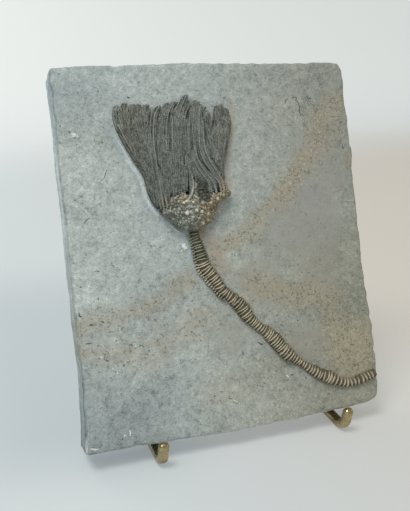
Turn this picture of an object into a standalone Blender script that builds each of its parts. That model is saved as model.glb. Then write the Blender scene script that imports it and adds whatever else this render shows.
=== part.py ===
"""Crinoid fossil in relief on a stone slab that leans on a small brass easel.

Units are metres, +Z is up, +X is right and -Y is the side that the fossil looks to.
The origin is the middle of the footprint, at floor level.
Pieces on the slab are modelled flat, as x, v (up the slab) and n (out of its face),
and take their place from one tilted empty.
"""
import math

import bmesh
import bpy
from mathutils import Vector

MM = 0.001

# Slab
SLAB_LEAN = math.radians(19.5)
SLAB_THICKNESS = 15.0 * MM
SLAB_LEFT = -57.7 * MM
SLAB_RIGHT = 58.9 * MM
FACE_X = -0.6 * MM
FRONT_EDGE_Y = -30.2 * MM
FRONT_EDGE_Z = 8.5 * MM

# Gap left between neighbouring pieces
GAP = 0.3 * MM

# Easel bar
BAR_WIDTH = 3.8 * MM
BAR_THICKNESS = 3.2 * MM
BAR_FLAT = 2.4 * MM
EASEL_CENTRE_X = 4.1 * MM
EASEL_HALF_SPACING = 36.25 * MM
HOOK_FRONT_Y = -37.4 * MM
REAR_FOOT_BACK_Y = 37.26 * MM
HOOK_TIP_Z = 11.0 * MM
HOOK_BEND_RADIUS = 5.4 * MM
HEEL_BEND_RADIUS = 2.3 * MM
REST_LENGTH = 88.0 * MM
TOP_BAR_LENGTH = REST_LENGTH + 0.5 * BAR_WIDTH + 2.5 * GAP
TOP_HALF_SPACING = 14.0 * MM
LOWER_BAR_HEIGHT = 30.0 * MM
REAR_FOOT_LENGTH = 36.0 * MM

# Crown and stem relief
CROWN_EDGE_RELIEF = 1.5 * MM
CROWN_MIDDLE_RELIEF = 5.4 * MM
ARM_HALF_WIDTH = 1.25 * MM
NARROW_ARM_HALF_WIDTH = 0.7 * MM
ARM_VALLEY = 0.8 * MM
CALYX_RELIEF = 6.6 * MM
STEM_FLATTENING = 0.54
COLUMNAL_PITCH = 1.15 * MM
COLUMNAL_GROOVE = 0.82

SMOOTH_ANGLE = math.radians(38.0)

# Outline of the slab's face, x and v in millimetres, anticlockwise from the lower left
SLAB_OUTLINE = [
    (-57.7, 0.8), (-57.5, -0.5), (-56.6, -1.0), (-48.0, -0.9), (-40.0, -0.9), (-33.0, -1.1),
    (-26.0, -1.3), (-20.0, -1.4), (-12.0, -1.7), (-4.0, -1.8), (5.0, -1.7), (14.0, -1.8),
    (20.0, -1.7), (28.0, -1.5), (34.0, -1.2), (39.5, -1.1), (46.0, -1.0), (50.5, -0.8),
    (54.0, -0.4), (56.3, 0.3), (57.6, 1.6), (58.1, 4.0), (58.6, 10.0), (58.9, 16.0),
    (58.9, 22.0), (58.9, 28.0), (58.6, 35.0), (58.2, 42.0), (57.9, 50.0), (57.9, 60.0),
    (58.0, 70.0), (57.8, 78.0), (57.9, 84.0), (58.3, 91.0), (58.6, 98.0), (58.5, 105.0),
    (58.2, 112.0), (58.2, 119.0), (58.6, 125.0), (58.7, 128.4), (58.3, 131.0), (57.4, 133.0),
    (56.2, 134.4), (50.0, 134.8), (42.0, 134.7), (34.0, 134.7), (26.0, 134.8), (18.0, 134.9),
    (8.0, 134.9), (-2.0, 135.2), (-12.0, 135.4), (-22.0, 134.8), (-32.0, 134.9), (-42.0, 135.0),
    (-50.0, 134.6), (-54.8, 134.3), (-56.1, 133.8), (-56.6, 132.6), (-56.6, 129.0),
    (-56.4, 122.0), (-56.3, 114.0), (-56.5, 106.0), (-56.5, 96.0), (-56.4, 86.0), (-56.3, 76.0),
    (-56.4, 66.0), (-56.5, 56.0), (-56.4, 46.0), (-56.3, 36.0), (-56.2, 26.0), (-56.7, 16.0),
    (-57.0, 8.0),
]
# Distance out of the face and inset of the outline there, in millimetres
SLAB_LAYERS = [
    (0.0, 0.5), (-0.4, 0.15), (-1.2, 0.0), (-5.0, 0.0), (-9.5, 0.3), (-13.4, 0.6),
    (-14.5, 1.0), (-15.0, 1.8),
]
# The left side is cut squarer than the others: share of the inset that it has behind the face
LEFT_INSET = 0.3

# The crown is drawn as it looks from the lower left. A crest lies this much to the left of
# where it is drawn, for each unit of its height.
SIGHT_SLOPE = 0.33

# Outline of the calyx, x and v in millimetres, anticlockwise from the stem
CALYX_MIDDLE = (-11.0, 79.2)
CALYX_OUTLINE = [
    (-8.3, 73.6), (-5.4, 74.9), (-3.3, 76.3), (-1.7, 78.2), (-0.9, 80.1), (0.3, 81.8),
    (2.0, 83.2), (4.2, 83.9), (5.0, 85.6), (4.4, 86.5), (2.6, 86.3), (0.6, 85.8), (-2.5, 85.8),
    (-4.3, 86.2), (-5.2, 88.0), (-5.9, 89.5), (-6.5, 90.9), (-7.4, 90.3), (-7.9, 88.0),
    (-8.2, 86.0), (-8.9, 85.3), (-10.8, 85.3), (-12.0, 86.8), (-14.0, 86.4), (-16.0, 85.7),
    (-17.6, 84.6), (-18.4, 83.4), (-18.7, 81.8), (-20.6, 80.6), (-21.2, 80.1), (-19.5, 78.9),
    (-18.6, 77.5), (-17.3, 75.7), (-15.3, 74.2), (-12.8, 73.6),
]
CALYX_RINGS = (0.0, 0.22, 0.42, 0.6, 0.76, 0.9, 1.0)
# Edge points of the calyx that meet the arms stand higher than those on bare stone
CALYX_ARM_EDGE = range(8, 30)

# Middle lines of the arms, x and v in millimetres, from the calyx or a fork to the tip
ARM_ROUTES = [
    [(-23.9, 84.6), (-25.1, 89), (-25.8, 93.4), (-27.4, 96.8), (-29.6, 100.2), (-32.1, 104.7),
     (-33.8, 108.5), (-35.0, 112), (-35.1, 117), (-34.2, 120)],
    [(-24.8, 91.5), (-25.3, 94.4), (-26.1, 97), (-27.6, 100.2), (-29.8, 104.7), (-31.3, 108.5),
     (-32.5, 112), (-32.4, 117), (-31.2, 120.5)],
    [(-22.9, 83.4), (-23.7, 89), (-24.1, 93), (-24.8, 96.8), (-25.8, 100.2), (-27.4, 104.7),
     (-28.7, 108.5), (-29.7, 112), (-29.5, 117), (-28.5, 119.9)],
    [(-23.3, 92.5), (-23.7, 96.8), (-24.4, 100.2), (-25.4, 104.7), (-26.4, 108.5), (-27.0, 112),
     (-26.8, 117), (-25.8, 119.8)],
    [(-21.9, 82.4), (-22.3, 88), (-22.5, 93), (-22.8, 98), (-23.2, 102), (-23.9, 106),
     (-24.4, 110), (-24.5, 113), (-24.0, 116.5), (-22.9, 119.5)],
    [(-20.7, 81.2), (-21.0, 86), (-21.3, 92), (-21.6, 100), (-21.6, 106), (-21.1, 111),
     (-19.9, 116), (-17.8, 119.2)],
    [(-19.3, 82.4), (-19.7, 87), (-19.9, 92), (-19.5, 100), (-19.2, 106), (-18.6, 112),
     (-17.0, 116.5), (-14.6, 120.2)],
    [(-18.1, 85.2), (-17.9, 94), (-17.2, 100), (-16.8, 106), (-16.3, 111), (-15.0, 116),
     (-12.4, 120.6)],
    [(-16.2, 86.6), (-15.6, 94), (-14.9, 100), (-14.5, 106), (-14.1, 111), (-12.9, 116),
     (-10.3, 120.4)],
    [(-14.1, 87.2), (-13.3, 94), (-12.6, 100), (-12.3, 106), (-11.9, 111), (-10.8, 116),
     (-7.4, 122.9)],
    [(-12.0, 87.4), (-11.2, 94), (-10.7, 100), (-10.1, 106), (-9.7, 111), (-8.4, 116),
     (-6.0, 120.3)],
    [(-9.8, 86), (-9.0, 91), (-9.0, 96), (-8.9, 101), (-8.5, 105), (-8.0, 109), (-7.5, 112.5),
     (-6.4, 117), (-5.1, 120.6)],
    [(-2.2, 86.8), (-2.8, 89.5), (-4.3, 92), (-5.7, 94.5), (-6.8, 97), (-7.4, 99.5),
     (-7.5, 102), (-7.2, 105), (-6.8, 108), (-6.2, 112), (-5.1, 117), (-4.0, 120.8)],
    [(-0.4, 86.6), (-1.0, 89.5), (-2.5, 92), (-4.0, 94.5), (-5.2, 96.8), (-6.0, 99),
     (-6.2, 102), (-5.9, 105), (-5.5, 108), (-5.0, 112), (-4.0, 116.5), (-3.0, 120.2)],
    [(1.5, 87.1), (1.1, 89.5), (0.0, 91.6), (-1.3, 93.8), (-2.7, 96), (-3.9, 98.5),
     (-4.5, 101), (-4.6, 104), (-4.3, 108), (-3.9, 112), (-3.1, 116), (-2.3, 119.3)],
    [(2.7, 87.4), (2.4, 90), (1.4, 92.2), (0.3, 94.4), (-1.0, 96.8), (-2.0, 99), (-2.7, 101.5),
     (-2.9, 104), (-2.7, 108), (-2.4, 112), (-2.0, 115.5), (-1.4, 118.3)],
    [(0.2, 98.8), (-0.5, 101), (-0.8, 104), (-0.4, 108), (0.1, 111), (0.1, 114), (-0.3, 116.8)],
    [(1.9, 93.6), (1.4, 96), (1.1, 98.5), (1.0, 101), (1.4, 105), (2.3, 109), (3.2, 112.5),
     (3.7, 115.5), (3.9, 118.6)],
    [(2.4, 97.6), (2.8, 101), (3.6, 105), (4.7, 109), (5.5, 113.5), (5.6, 118.9)],
    [(3.9, 87.4), (3.1, 90.3), (2.9, 94.9), (3.6, 98), (4.5, 101), (5.8, 105.4), (6.9, 109),
     (7.5, 113), (7.2, 117.6)],
]
# A neighbour leaves room for an arm from this far below its fork
FORK_ROOM = 3.6
# Half width of the two outermost arms on their free side, by v
OUTER_HALF_WIDTHS = [(84.0, 0.65), (92.0, 0.8), (100.0, 1.25)]
NARROW_ARM = 11

# Middle line of the stem, x and v in millimetres, from the calyx to the slab's right edge
STEM_ROUTE = [
    (-10.6, 73.1), (-10.4, 71), (-9.8, 68), (-9.2, 65), (-8.7, 62), (-7.7, 59), (-5.7, 56.1),
    (-3.9, 53.4), (-2.1, 50.2), (0.1, 48.2), (2.3, 46.1), (4.3, 43.7), (5.8, 41.2), (7.1, 39.1),
    (9.0, 37.0), (10.6, 35.2), (12.6, 33.6), (15.0, 31.3), (16.9, 28.9), (18.7, 26.3),
    (20.6, 23.9), (23.1, 21.9), (25.6, 19.9), (27.7, 18.3), (29.7, 16.7), (32.2, 14.9),
    (34.7, 13.4), (37.2, 12.3), (39.6, 10.9), (42.5, 9.5), (45.5, 8.9), (48.6, 9.1),
    (51.6, 9.6), (54.6, 10.3), (57.2, 11.1),
]
# Width of the stem in millimetres, by the distance along it
STEM_WIDTHS = [
    (0.0, 3.8), (4.0, 3.5), (7.0, 3.6), (10.0, 4.0), (13.0, 4.5), (16.0, 5.3), (19.0, 5.5),
    (22.0, 4.8), (25.0, 4.2), (28.0, 4.4), (31.0, 4.9), (34.0, 5.8), (37.0, 6.1), (40.0, 4.9),
    (43.0, 3.8), (46.0, 3.8), (49.0, 4.9), (52.0, 5.8), (55.0, 5.4), (58.0, 5.6), (61.0, 5.2),
    (64.0, 3.9), (67.0, 3.0), (70.0, 3.4), (73.0, 4.1), (76.0, 4.8), (79.0, 5.4), (82.0, 5.2),
    (85.0, 4.1), (88.0, 3.4), (91.0, 3.7), (94.0, 4.0), (98.0, 4.1),
]


# Height of the stem over its width. Its last stretch sinks into the stone.
STEM_RELIEFS = [(0.0, STEM_FLATTENING), (89.0, STEM_FLATTENING), (99.0, 0.26)]


def remove_everything():
    for item in list(bpy.data.objects):
        bpy.data.objects.remove(item, do_unlink=True)


def make_material(name, colour, roughness, metallic):
    material = bpy.data.materials.new(name)
    material.use_nodes = True
    shader = material.node_tree.nodes["Principled BSDF"]
    shader.inputs["Base Color"].default_value = (*colour, 1.0)
    shader.inputs["Roughness"].default_value = roughness
    shader.inputs["Metallic"].default_value = metallic
    material.diffuse_color = (*colour, 1.0)
    return material


def make_object(name, points, faces, material, parent=None, smooth=False):
    """One closed mesh object, with its faces turned outward."""
    mesh = bpy.data.meshes.new(name)
    mesh.from_pydata(points, [], faces)
    work = bmesh.new()
    work.from_mesh(mesh)
    bmesh.ops.recalc_face_normals(work, faces=work.faces)
    work.to_mesh(mesh)
    work.free()
    mesh.materials.append(material)
    item = bpy.data.objects.new(name, mesh)
    bpy.context.scene.collection.objects.link(item)
    item.parent = parent
    if smooth:
        mesh.shade_smooth()
        mesh.set_sharp_from_angle(angle=SMOOTH_ANGLE)
    return item


def loft(sections):
    """Points and faces of a closed skin over equal-length sections, with flat ends."""
    count = len(sections[0])
    points = [point for section in sections for point in section]
    faces = []
    for row in range(len(sections) - 1):
        for step in range(count):
            after = (step + 1) % count
            faces.append((
                row * count + step,
                row * count + after,
                (row + 1) * count + after,
                (row + 1) * count + step,
            ))
    faces.append(tuple(range(count)))
    last = (len(sections) - 1) * count
    faces.append(tuple(last + step for step in reversed(range(count))))
    return points, faces


def value_at(pairs, where):
    """Linear value from (place, value) pairs in rising order, held at both ends."""
    if where <= pairs[0][0]:
        return pairs[0][1]
    for (low, first), (high, second) in zip(pairs, pairs[1:]):
        if where <= high:
            return first + (second - first) * (where - low) / (high - low)
    return pairs[-1][1]


def outward_normals(outline):
    """Unit normals of an anticlockwise outline, one at each point."""
    normals = []
    count = len(outline)
    for index in range(count):
        before = Vector(outline[index - 1])
        after = Vector(outline[(index + 1) % count])
        along = (after - before).normalized()
        normals.append(Vector((along.y, -along.x)))
    return normals


def build_slab(material, parent):
    normals = outward_normals(SLAB_OUTLINE)
    layers = []
    for depth, inset in SLAB_LAYERS:
        layer = []
        for index, (point, normal) in enumerate(zip(SLAB_OUTLINE, normals)):
            chip = 0.25 * math.sin(index * 2.3 + depth * 0.9) + 0.2 * math.sin(index * 0.71 - depth * 1.7)
            if depth > -1.0:
                chip = 0.12 * math.sin(index * 2.3)
            share = LEFT_INSET if normal.x < -0.9 and -14.8 < depth < -5.5 else 1.0
            place = Vector(point) - normal * (inset * share + chip)
            x = min(max(place.x * MM, SLAB_LEFT), SLAB_RIGHT)
            layer.append((x, place.y * MM, depth * MM))
        layers.append(layer)
    points, faces = loft(layers)
    return make_object("matrix_slab", points, faces, material, parent)


def route_x(route, v):
    """x of an arm's middle line at v, with a smooth course between its given points."""
    if v <= route[0][1]:
        return route[0][0]
    for index in range(len(route) - 1):
        if v <= route[index + 1][1]:
            break
    x0, v0 = route[index]
    x1, v1 = route[index + 1]
    xa, va = route[max(index - 1, 0)]
    xb, vb = route[min(index + 2, len(route) - 1)]
    if v >= v1:
        return x1
    share = (v - v0) / (v1 - v0)
    slope_in = (x1 - xa) / (v1 - va) * (v1 - v0)
    slope_out = (xb - x0) / (vb - v0) * (v1 - v0)
    square = share * share
    cube = square * share
    return (
        (2 * cube - 3 * square + 1) * x0
        + (cube - 2 * square + share) * slope_in
        + (3 * square - 2 * cube) * x1
        + (cube - square) * slope_out
    )


def neighbour_x(index, step, v):
    """Middle line of the nearest arm on one side that is there at v, or None."""
    other = index + step
    while 0 <= other < len(ARM_ROUTES):
        if v >= ARM_ROUTES[other][0][1] - FORK_ROOM:
            return route_x(ARM_ROUTES[other], v)
        other += step
    return None


def arm_edges(index, v):
    """Left and right edge of one arm at v, in millimetres, clear of both neighbours."""
    middle = route_x(ARM_ROUTES[index], v)
    half = ARM_HALF_WIDTH / MM
    if index == NARROW_ARM:
        half = NARROW_ARM_HALF_WIDTH / MM
    left = middle - half
    right = middle + half
    gap = 0.5 * GAP / MM
    other = neighbour_x(index, -1, v)
    if other is None:
        left = middle - value_at(OUTER_HALF_WIDTHS, v)
    else:
        left = max(left, 0.5 * (middle + other) + gap)
    other = neighbour_x(index, 1, v)
    if other is None:
        right = middle + value_at(OUTER_HALF_WIDTHS, v)
    else:
        right = min(right, 0.5 * (middle + other) - gap)
    return left, middle, right


def crown_share(x, v):
    """Place across the crown, from 0 at its left edge to 1 at its right edge."""
    left = route_x(ARM_ROUTES[0], v) - 1.0
    right = route_x(ARM_ROUTES[-1], v) + 1.0
    return min(max((x - left) / (right - left), 0.0), 1.0)


def crown_middle(v):
    return value_at([(84.0, 1.0), (100.0, 0.92), (112.0, 0.62), (121.0, 0.25)], v)


def crown_relief(x, v):
    """Height of the arms' crests over the slab's face, in metres."""
    share = crown_share(x, v)
    dome = math.sqrt(4.0 * share * (1.0 - share))
    return CROWN_EDGE_RELIEF + (CROWN_MIDDLE_RELIEF - CROWN_EDGE_RELIEF) * dome * crown_middle(v)


def settled_x(x, v):
    """x in millimetres of a crest of the crown that is drawn at x, v."""
    share = crown_share(x, v)
    dome = 4.0 * share * (1.0 - share)
    height = CROWN_EDGE_RELIEF + (CROWN_MIDDLE_RELIEF - CROWN_EDGE_RELIEF) * dome * crown_middle(v)
    return x - SIGHT_SLOPE * height / MM


def build_arm(index, material, parent):
    route = ARM_ROUTES[index]
    base = route[0][1]
    tip = route[-1][1]
    stops = [0.0, 0.07, 0.14, 0.22, 0.31, 0.4, 0.5, 0.6, 0.7, 0.8, 0.88, 0.94, 0.975, 0.993, 1.0]
    sections = []
    for stop in stops:
        v = base + (tip - base) * stop
        left, middle, right = arm_edges(index, v)
        to_tip = min((tip - v) / 2.2, 1.0)
        narrow = 0.35 + 0.65 * math.sqrt(max(1.0 - (1.0 - to_tip) ** 2, 0.0))
        left = middle + (left - middle) * narrow
        right = middle + (right - middle) * narrow
        crest = max(crown_relief(middle, v) * (0.55 + 0.45 * narrow), 3.0 * GAP)
        shoulder = max(crest - ARM_VALLEY, 2.0 * GAP)
        slope = crest - 0.3 * (crest - shoulder)
        section = [
            (left, GAP),
            (left, shoulder),
            (0.5 * (left + middle), slope),
            (middle, crest),
            (0.5 * (right + middle), slope),
            (right, shoulder),
            (right, GAP),
        ]
        sections.append([(settled_x(x, v) * MM, v * MM, n) for x, n in section])
    points, faces = loft(sections)
    return make_object(f"arm_{index + 1:02d}", points, faces, material, parent, smooth=True)


def build_calyx(material, parent):
    """Domed cup with knobbly plates, on a flat base."""
    middle_x, middle_v = CALYX_MIDDLE
    count = len(CALYX_OUTLINE)
    outline = []
    edges = []
    for index, (x, v) in enumerate(CALYX_OUTLINE):
        edge = 1.1 * MM
        if index in CALYX_ARM_EDGE:
            edge = 0.72 * crown_relief(x, v)
            outline.append((settled_x(x, v), v))
        else:
            outline.append((x - SIGHT_SLOPE * edge / MM, v))
        edges.append(edge)
    points = [(middle_x * MM, middle_v * MM, CALYX_RELIEF)]
    for ring in CALYX_RINGS[1:]:
        for index, ((x, v), edge) in enumerate(zip(outline, edges)):
            dome = math.sqrt(max(1.0 - ring * ring, 0.0))
            height = edge + (CALYX_RELIEF - edge) * dome
            if 0.0 < ring < 0.95:
                height += 0.45 * MM * math.sin(index * 1.9 + ring * 21.0)
            points.append((
                (middle_x + (x - middle_x) * ring) * MM,
                (middle_v + (v - middle_v) * ring) * MM,
                height,
            ))
    rings = len(CALYX_RINGS) - 1
    for x, v in outline:
        points.append((x * MM, v * MM, GAP))
    faces = []
    for step in range(count):
        faces.append((0, 1 + step, 1 + (step + 1) % count))
    for ring in range(rings):
        for step in range(count):
            after = (step + 1) % count
            faces.append((
                1 + ring * count + step,
                1 + (ring + 1) * count + step,
                1 + (ring + 1) * count + after,
                1 + ring * count + after,
            ))
    last = 1 + rings * count
    faces.append(tuple(last + step for step in range(count)))
    return make_object("calyx", points, faces, material, parent, smooth=True)


def smooth_route(route, spacing):
    """Evenly spaced points on a smooth curve through the route, in millimetres."""
    fine = []
    for index in range(len(route) - 1):
        p1 = Vector(route[index])
        p2 = Vector(route[index + 1])
        p0 = Vector(route[max(index - 1, 0)])
        p3 = Vector(route[min(index + 2, len(route) - 1)])
        for part in range(8):
            t = part / 8.0
            fine.append(
                0.5 * (2 * p1 + (p2 - p0) * t + (2 * p0 - 5 * p1 + 4 * p2 - p3) * t ** 2
                       + (3 * p1 - p0 - 3 * p2 + p3) * t ** 3)
            )
    fine.append(Vector(route[-1]))
    lengths = [0.0]
    for first, second in zip(fine, fine[1:]):
        lengths.append(lengths[-1] + (second - first).length)
    steps = round(lengths[-1] / spacing)
    places = []
    cursor = 0
    for step in range(steps + 1):
        goal = lengths[-1] * step / steps
        while cursor < len(lengths) - 2 and lengths[cursor + 1] < goal:
            cursor += 1
        share = (goal - lengths[cursor]) / (lengths[cursor + 1] - lengths[cursor])
        places.append((goal, fine[cursor].lerp(fine[cursor + 1], min(share, 1.0))))
    return places


def build_stem(material, parent):
    """Half-round stalk. Every second section is a groove between two columnals."""
    places = smooth_route(STEM_ROUTE, 0.5 * COLUMNAL_PITCH / MM)
    sections = []
    for index, (along, place) in enumerate(places):
        before = places[max(index - 1, 0)][1]
        after = places[min(index + 1, len(places) - 1)][1]
        tangent = (after - before).normalized()
        side = Vector((tangent.y, -tangent.x))
        width = value_at(STEM_WIDTHS, along)
        if index % 2 == 0:
            width *= COLUMNAL_GROOVE
        half = 0.5 * width
        height = value_at(STEM_RELIEFS, along) * width
        section = [(-0.9 * half, GAP / MM)]
        for part in range(7):
            angle = math.pi * part / 6.0
            section.append((-math.cos(angle) * half, 0.3 * height + math.sin(angle) * 0.7 * height))
        section.append((0.9 * half, GAP / MM))
        sections.append([
            ((place.x + side.x * across) * MM, (place.y + side.y * across) * MM, out * MM)
            for across, out in section
        ])
    points, faces = loft(sections)
    return make_object("stem", points, faces, material, parent)


def bar_profile():
    """Flattened bar: across its width and through its thickness."""
    flat = 0.5 * BAR_FLAT
    half_width = 0.5 * BAR_WIDTH
    half_thickness = 0.5 * BAR_THICKNESS
    return [
        (-flat, -half_thickness),
        (flat, -half_thickness),
        (half_width, -0.5 * half_thickness),
        (half_width, 0.5 * half_thickness),
        (flat, half_thickness),
        (-flat, half_thickness),
        (-half_width, 0.5 * half_thickness),
        (-half_width, -0.5 * half_thickness),
    ]


def sweep_bar(name, path, sizes, first_normal, material):
    """Bar along a path. Its thickness starts along first_normal and turns with the path."""
    tangents = []
    for index in range(len(path)):
        before = path[max(index - 1, 0)]
        after = path[min(index + 1, len(path) - 1)]
        tangents.append((after - before).normalized())
    normal = first_normal.copy()
    sections = []
    for index, (place, tangent) in enumerate(zip(path, tangents)):
        if index > 0:
            normal = tangents[index - 1].rotation_difference(tangent) @ normal
        normal = (normal - tangent * normal.dot(tangent)).normalized()
        across = tangent.cross(normal)
        sections.append([
            tuple(place + across * (w * sizes[index]) + normal * (t * sizes[index]))
            for w, t in bar_profile()
        ])
    points, faces = loft(sections)
    return make_object(name, points, faces, material, smooth=True)


def bend(centre, start, end, steps):
    """Arc from start to end about centre, all in one plane, without its two ends."""
    first = start - centre
    second = end - centre
    places = []
    for step in range(1, steps):
        share = step / steps
        turned = first.slerp(second, share)
        places.append(centre + turned.normalized() * first.length)
    return places


def rest_point(x, length):
    """Point on the middle line of the easel's back plane, at x and at a length up it."""
    up = Vector((0.0, math.sin(SLAB_LEAN), math.cos(SLAB_LEAN)))
    back = Vector((0.0, math.cos(SLAB_LEAN), -math.sin(SLAB_LEAN)))
    edge = Vector((0.0, FRONT_EDGE_Y, FRONT_EDGE_Z))
    heel = edge + back * (SLAB_THICKNESS + GAP + 0.5 * BAR_THICKNESS)
    drop = (heel.z - 0.5 * BAR_THICKNESS) / up.z
    place = heel + up * (length - drop)
    return Vector((x, place.y, place.z))


def side_path(side):
    """Middle line of one side: hook tip, arm on the floor, heel and back rest."""
    x = EASEL_CENTRE_X + side * EASEL_HALF_SPACING
    half = 0.5 * BAR_THICKNESS
    tip_y = HOOK_FRONT_Y + half
    lean = 0.9 * MM
    hook_centre = Vector((x, tip_y + lean + HOOK_BEND_RADIUS, half + HOOK_BEND_RADIUS))
    hook_top = Vector((x, tip_y + lean, half + HOOK_BEND_RADIUS))
    hook_end = Vector((x, hook_centre.y, half))
    path = [
        Vector((x, tip_y, HOOK_TIP_Z)),
        Vector((x, tip_y, HOOK_TIP_Z - 0.35 * MM)),
        Vector((x, tip_y + 0.05 * MM, HOOK_TIP_Z - 0.9 * MM)),
        Vector((x, tip_y + 0.12 * MM, HOOK_TIP_Z - 1.7 * MM)),
        hook_top,
    ]
    path += bend(hook_centre, hook_top, hook_end, 6)
    path.append(hook_end)
    heel = rest_point(x, 0.0)
    top = rest_point(EASEL_CENTRE_X + side * TOP_HALF_SPACING, REST_LENGTH)
    rise = (top - heel).normalized()
    floor = Vector((0.0, -1.0, 0.0))
    turn = math.pi - rise.angle(floor)
    reach = HEEL_BEND_RADIUS * math.tan(0.5 * turn)
    start = heel + floor * reach
    end = heel + rise * reach
    centre = heel + (floor + rise).normalized() * (HEEL_BEND_RADIUS / math.cos(0.5 * turn))
    path.append(start)
    path += bend(centre, start, end, 5)
    path.append(end)
    path.append(top)
    return path


def build_side(name, side, material):
    path = side_path(side)
    sizes = [1.0] * len(path)
    sizes[0] = 0.45
    sizes[1] = 0.78
    sizes[2] = 0.95
    return sweep_bar(name, path, sizes, Vector((0.0, -1.0, 0.0)), material)


def rest_half_spacing(length):
    share = length / REST_LENGTH
    return EASEL_HALF_SPACING + (TOP_HALF_SPACING - EASEL_HALF_SPACING) * share


def build_cross_bar(name, length, overhang, material):
    """Straight bar across the back plane. A negative overhang ends it between the sides."""
    half = rest_half_spacing(length) + overhang
    out = Vector((0.0, -math.cos(SLAB_LEAN), math.sin(SLAB_LEAN)))
    path = [
        rest_point(EASEL_CENTRE_X - half, length),
        rest_point(EASEL_CENTRE_X + half, length),
    ]
    return sweep_bar(name, path, [1.0, 1.0], out, material)


def build_rear(material):
    half = 0.5 * BAR_THICKNESS
    foot_y = REAR_FOOT_BACK_Y - 0.5 * BAR_WIDTH
    foot = [
        Vector((EASEL_CENTRE_X - 0.5 * REAR_FOOT_LENGTH, foot_y, half)),
        Vector((EASEL_CENTRE_X + 0.5 * REAR_FOOT_LENGTH, foot_y, half)),
    ]
    sweep_bar("easel_rear_foot", foot, [1.0, 1.0], Vector((0.0, 0.0, 1.0)), material)
    back = Vector((0.0, math.cos(SLAB_LEAN), -math.sin(SLAB_LEAN)))
    top = rest_point(EASEL_CENTRE_X, TOP_BAR_LENGTH + 0.5 * BAR_WIDTH)
    top += back * (BAR_THICKNESS + 2.0 * GAP)
    bottom = Vector((EASEL_CENTRE_X, foot_y, BAR_THICKNESS + 3.0 * GAP))
    sweep_bar("easel_rear_leg", [top, bottom], [1.0, 1.0], Vector((0.0, 1.0, 0.0)), material)


def main():
    remove_everything()
    stone = make_material("siltstone", (0.37, 0.40, 0.375), 0.9, 0.0)
    arm_fossil = make_material("arm_calcite", (0.115, 0.12, 0.105), 0.72, 0.0)
    cup_fossil = make_material("calyx_calcite", (0.17, 0.14, 0.10), 0.7, 0.0)
    stem_fossil = make_material("stem_calcite", (0.20, 0.165, 0.12), 0.7, 0.0)
    brass = make_material("brass", (0.62, 0.49, 0.24), 0.28, 1.0)

    face = bpy.data.objects.new("slab_face", None)
    bpy.context.scene.collection.objects.link(face)
    face.location = (FACE_X, FRONT_EDGE_Y, FRONT_EDGE_Z)
    face.rotation_euler = (0.5 * math.pi - SLAB_LEAN, 0.0, 0.0)

    build_slab(stone, face)
    build_calyx(cup_fossil, face)
    for index in range(len(ARM_ROUTES)):
        build_arm(index, arm_fossil, face)
    build_stem(stem_fossil, face)

    build_side("easel_left_side", -1.0, brass)
    build_side("easel_right_side", 1.0, brass)
    bar_clear = -(0.5 * BAR_WIDTH / math.cos(math.radians(14.5)) + 2.5 * GAP)
    build_cross_bar("easel_lower_bar", LOWER_BAR_HEIGHT, bar_clear, brass)
    build_cross_bar("easel_top_bar", TOP_BAR_LENGTH, 3.0 * MM, brass)
    build_rear(brass)


main()
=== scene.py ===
"""Finish of a crinoid fossil in relief on a stone slab, which leans on a small brass easel.

Places on the slab are in millimetres: x to the right, v up the slab and n out of its face.
"""
import math

import bpy
import numpy as np
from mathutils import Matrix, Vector


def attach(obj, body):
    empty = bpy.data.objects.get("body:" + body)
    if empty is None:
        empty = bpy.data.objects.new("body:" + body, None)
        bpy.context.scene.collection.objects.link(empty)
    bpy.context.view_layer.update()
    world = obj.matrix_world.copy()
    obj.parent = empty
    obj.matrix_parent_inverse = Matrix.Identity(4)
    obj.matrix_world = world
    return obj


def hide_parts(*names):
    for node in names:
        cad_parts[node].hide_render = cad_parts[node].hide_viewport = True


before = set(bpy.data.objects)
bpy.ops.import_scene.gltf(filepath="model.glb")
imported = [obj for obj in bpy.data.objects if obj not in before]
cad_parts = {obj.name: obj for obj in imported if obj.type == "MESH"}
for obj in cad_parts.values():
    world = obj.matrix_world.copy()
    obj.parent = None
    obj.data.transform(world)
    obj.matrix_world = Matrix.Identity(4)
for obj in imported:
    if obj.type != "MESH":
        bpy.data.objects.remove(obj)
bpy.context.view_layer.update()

MM = 0.001

# Sizes shared with the solids, in millimetres
SLAB_LEAN = math.radians(19.5)
SLAB_THICKNESS = 15.0
SLAB_LEFT = -57.7
SLAB_RIGHT = 58.9
FACE_X = -0.6
FRONT_EDGE_Y = -30.2
FRONT_EDGE_Z = 8.5
GAP = 0.3
BAR_WIDTH = 3.8
BAR_THICKNESS = 3.2
BAR_FLAT = 2.4
EASEL_CENTRE_X = 4.1
EASEL_HALF_SPACING = 36.25
HOOK_FRONT_Y = -37.4
REAR_FOOT_BACK_Y = 37.26
HOOK_TIP_Z = 11.0
HOOK_BEND_RADIUS = 5.4
HOOK_LEAN = 0.9
HEEL_BEND_RADIUS = 2.3
REST_LENGTH = 88.0
TOP_BAR_LENGTH = REST_LENGTH + 0.5 * BAR_WIDTH + 2.5 * GAP
TOP_HALF_SPACING = 14.0
LOWER_BAR_HEIGHT = 30.0
REAR_FOOT_LENGTH = 36.0
SIDE_SPLAY = math.radians(14.5)
CROWN_EDGE_RELIEF = 1.5
CROWN_MIDDLE_RELIEF = 5.4
ARM_HALF_WIDTH = 1.7
# Greatest half width towards a gap that differs, by the arm left of the gap
GAP_HALF_WIDTHS = {
    1: [(112, 1.7), (118, 2.1)], 3: [(112, 1.7), (118, 2.1)], 4: [(110, 1.7), (118, 2.3)],
    11: [(90, 2.7)], 15: [(102, 3.2), (107, 2.2)], 16: [(102, 2.6), (107, 1.2)], 17: [(90, 2.2)],
}
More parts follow.
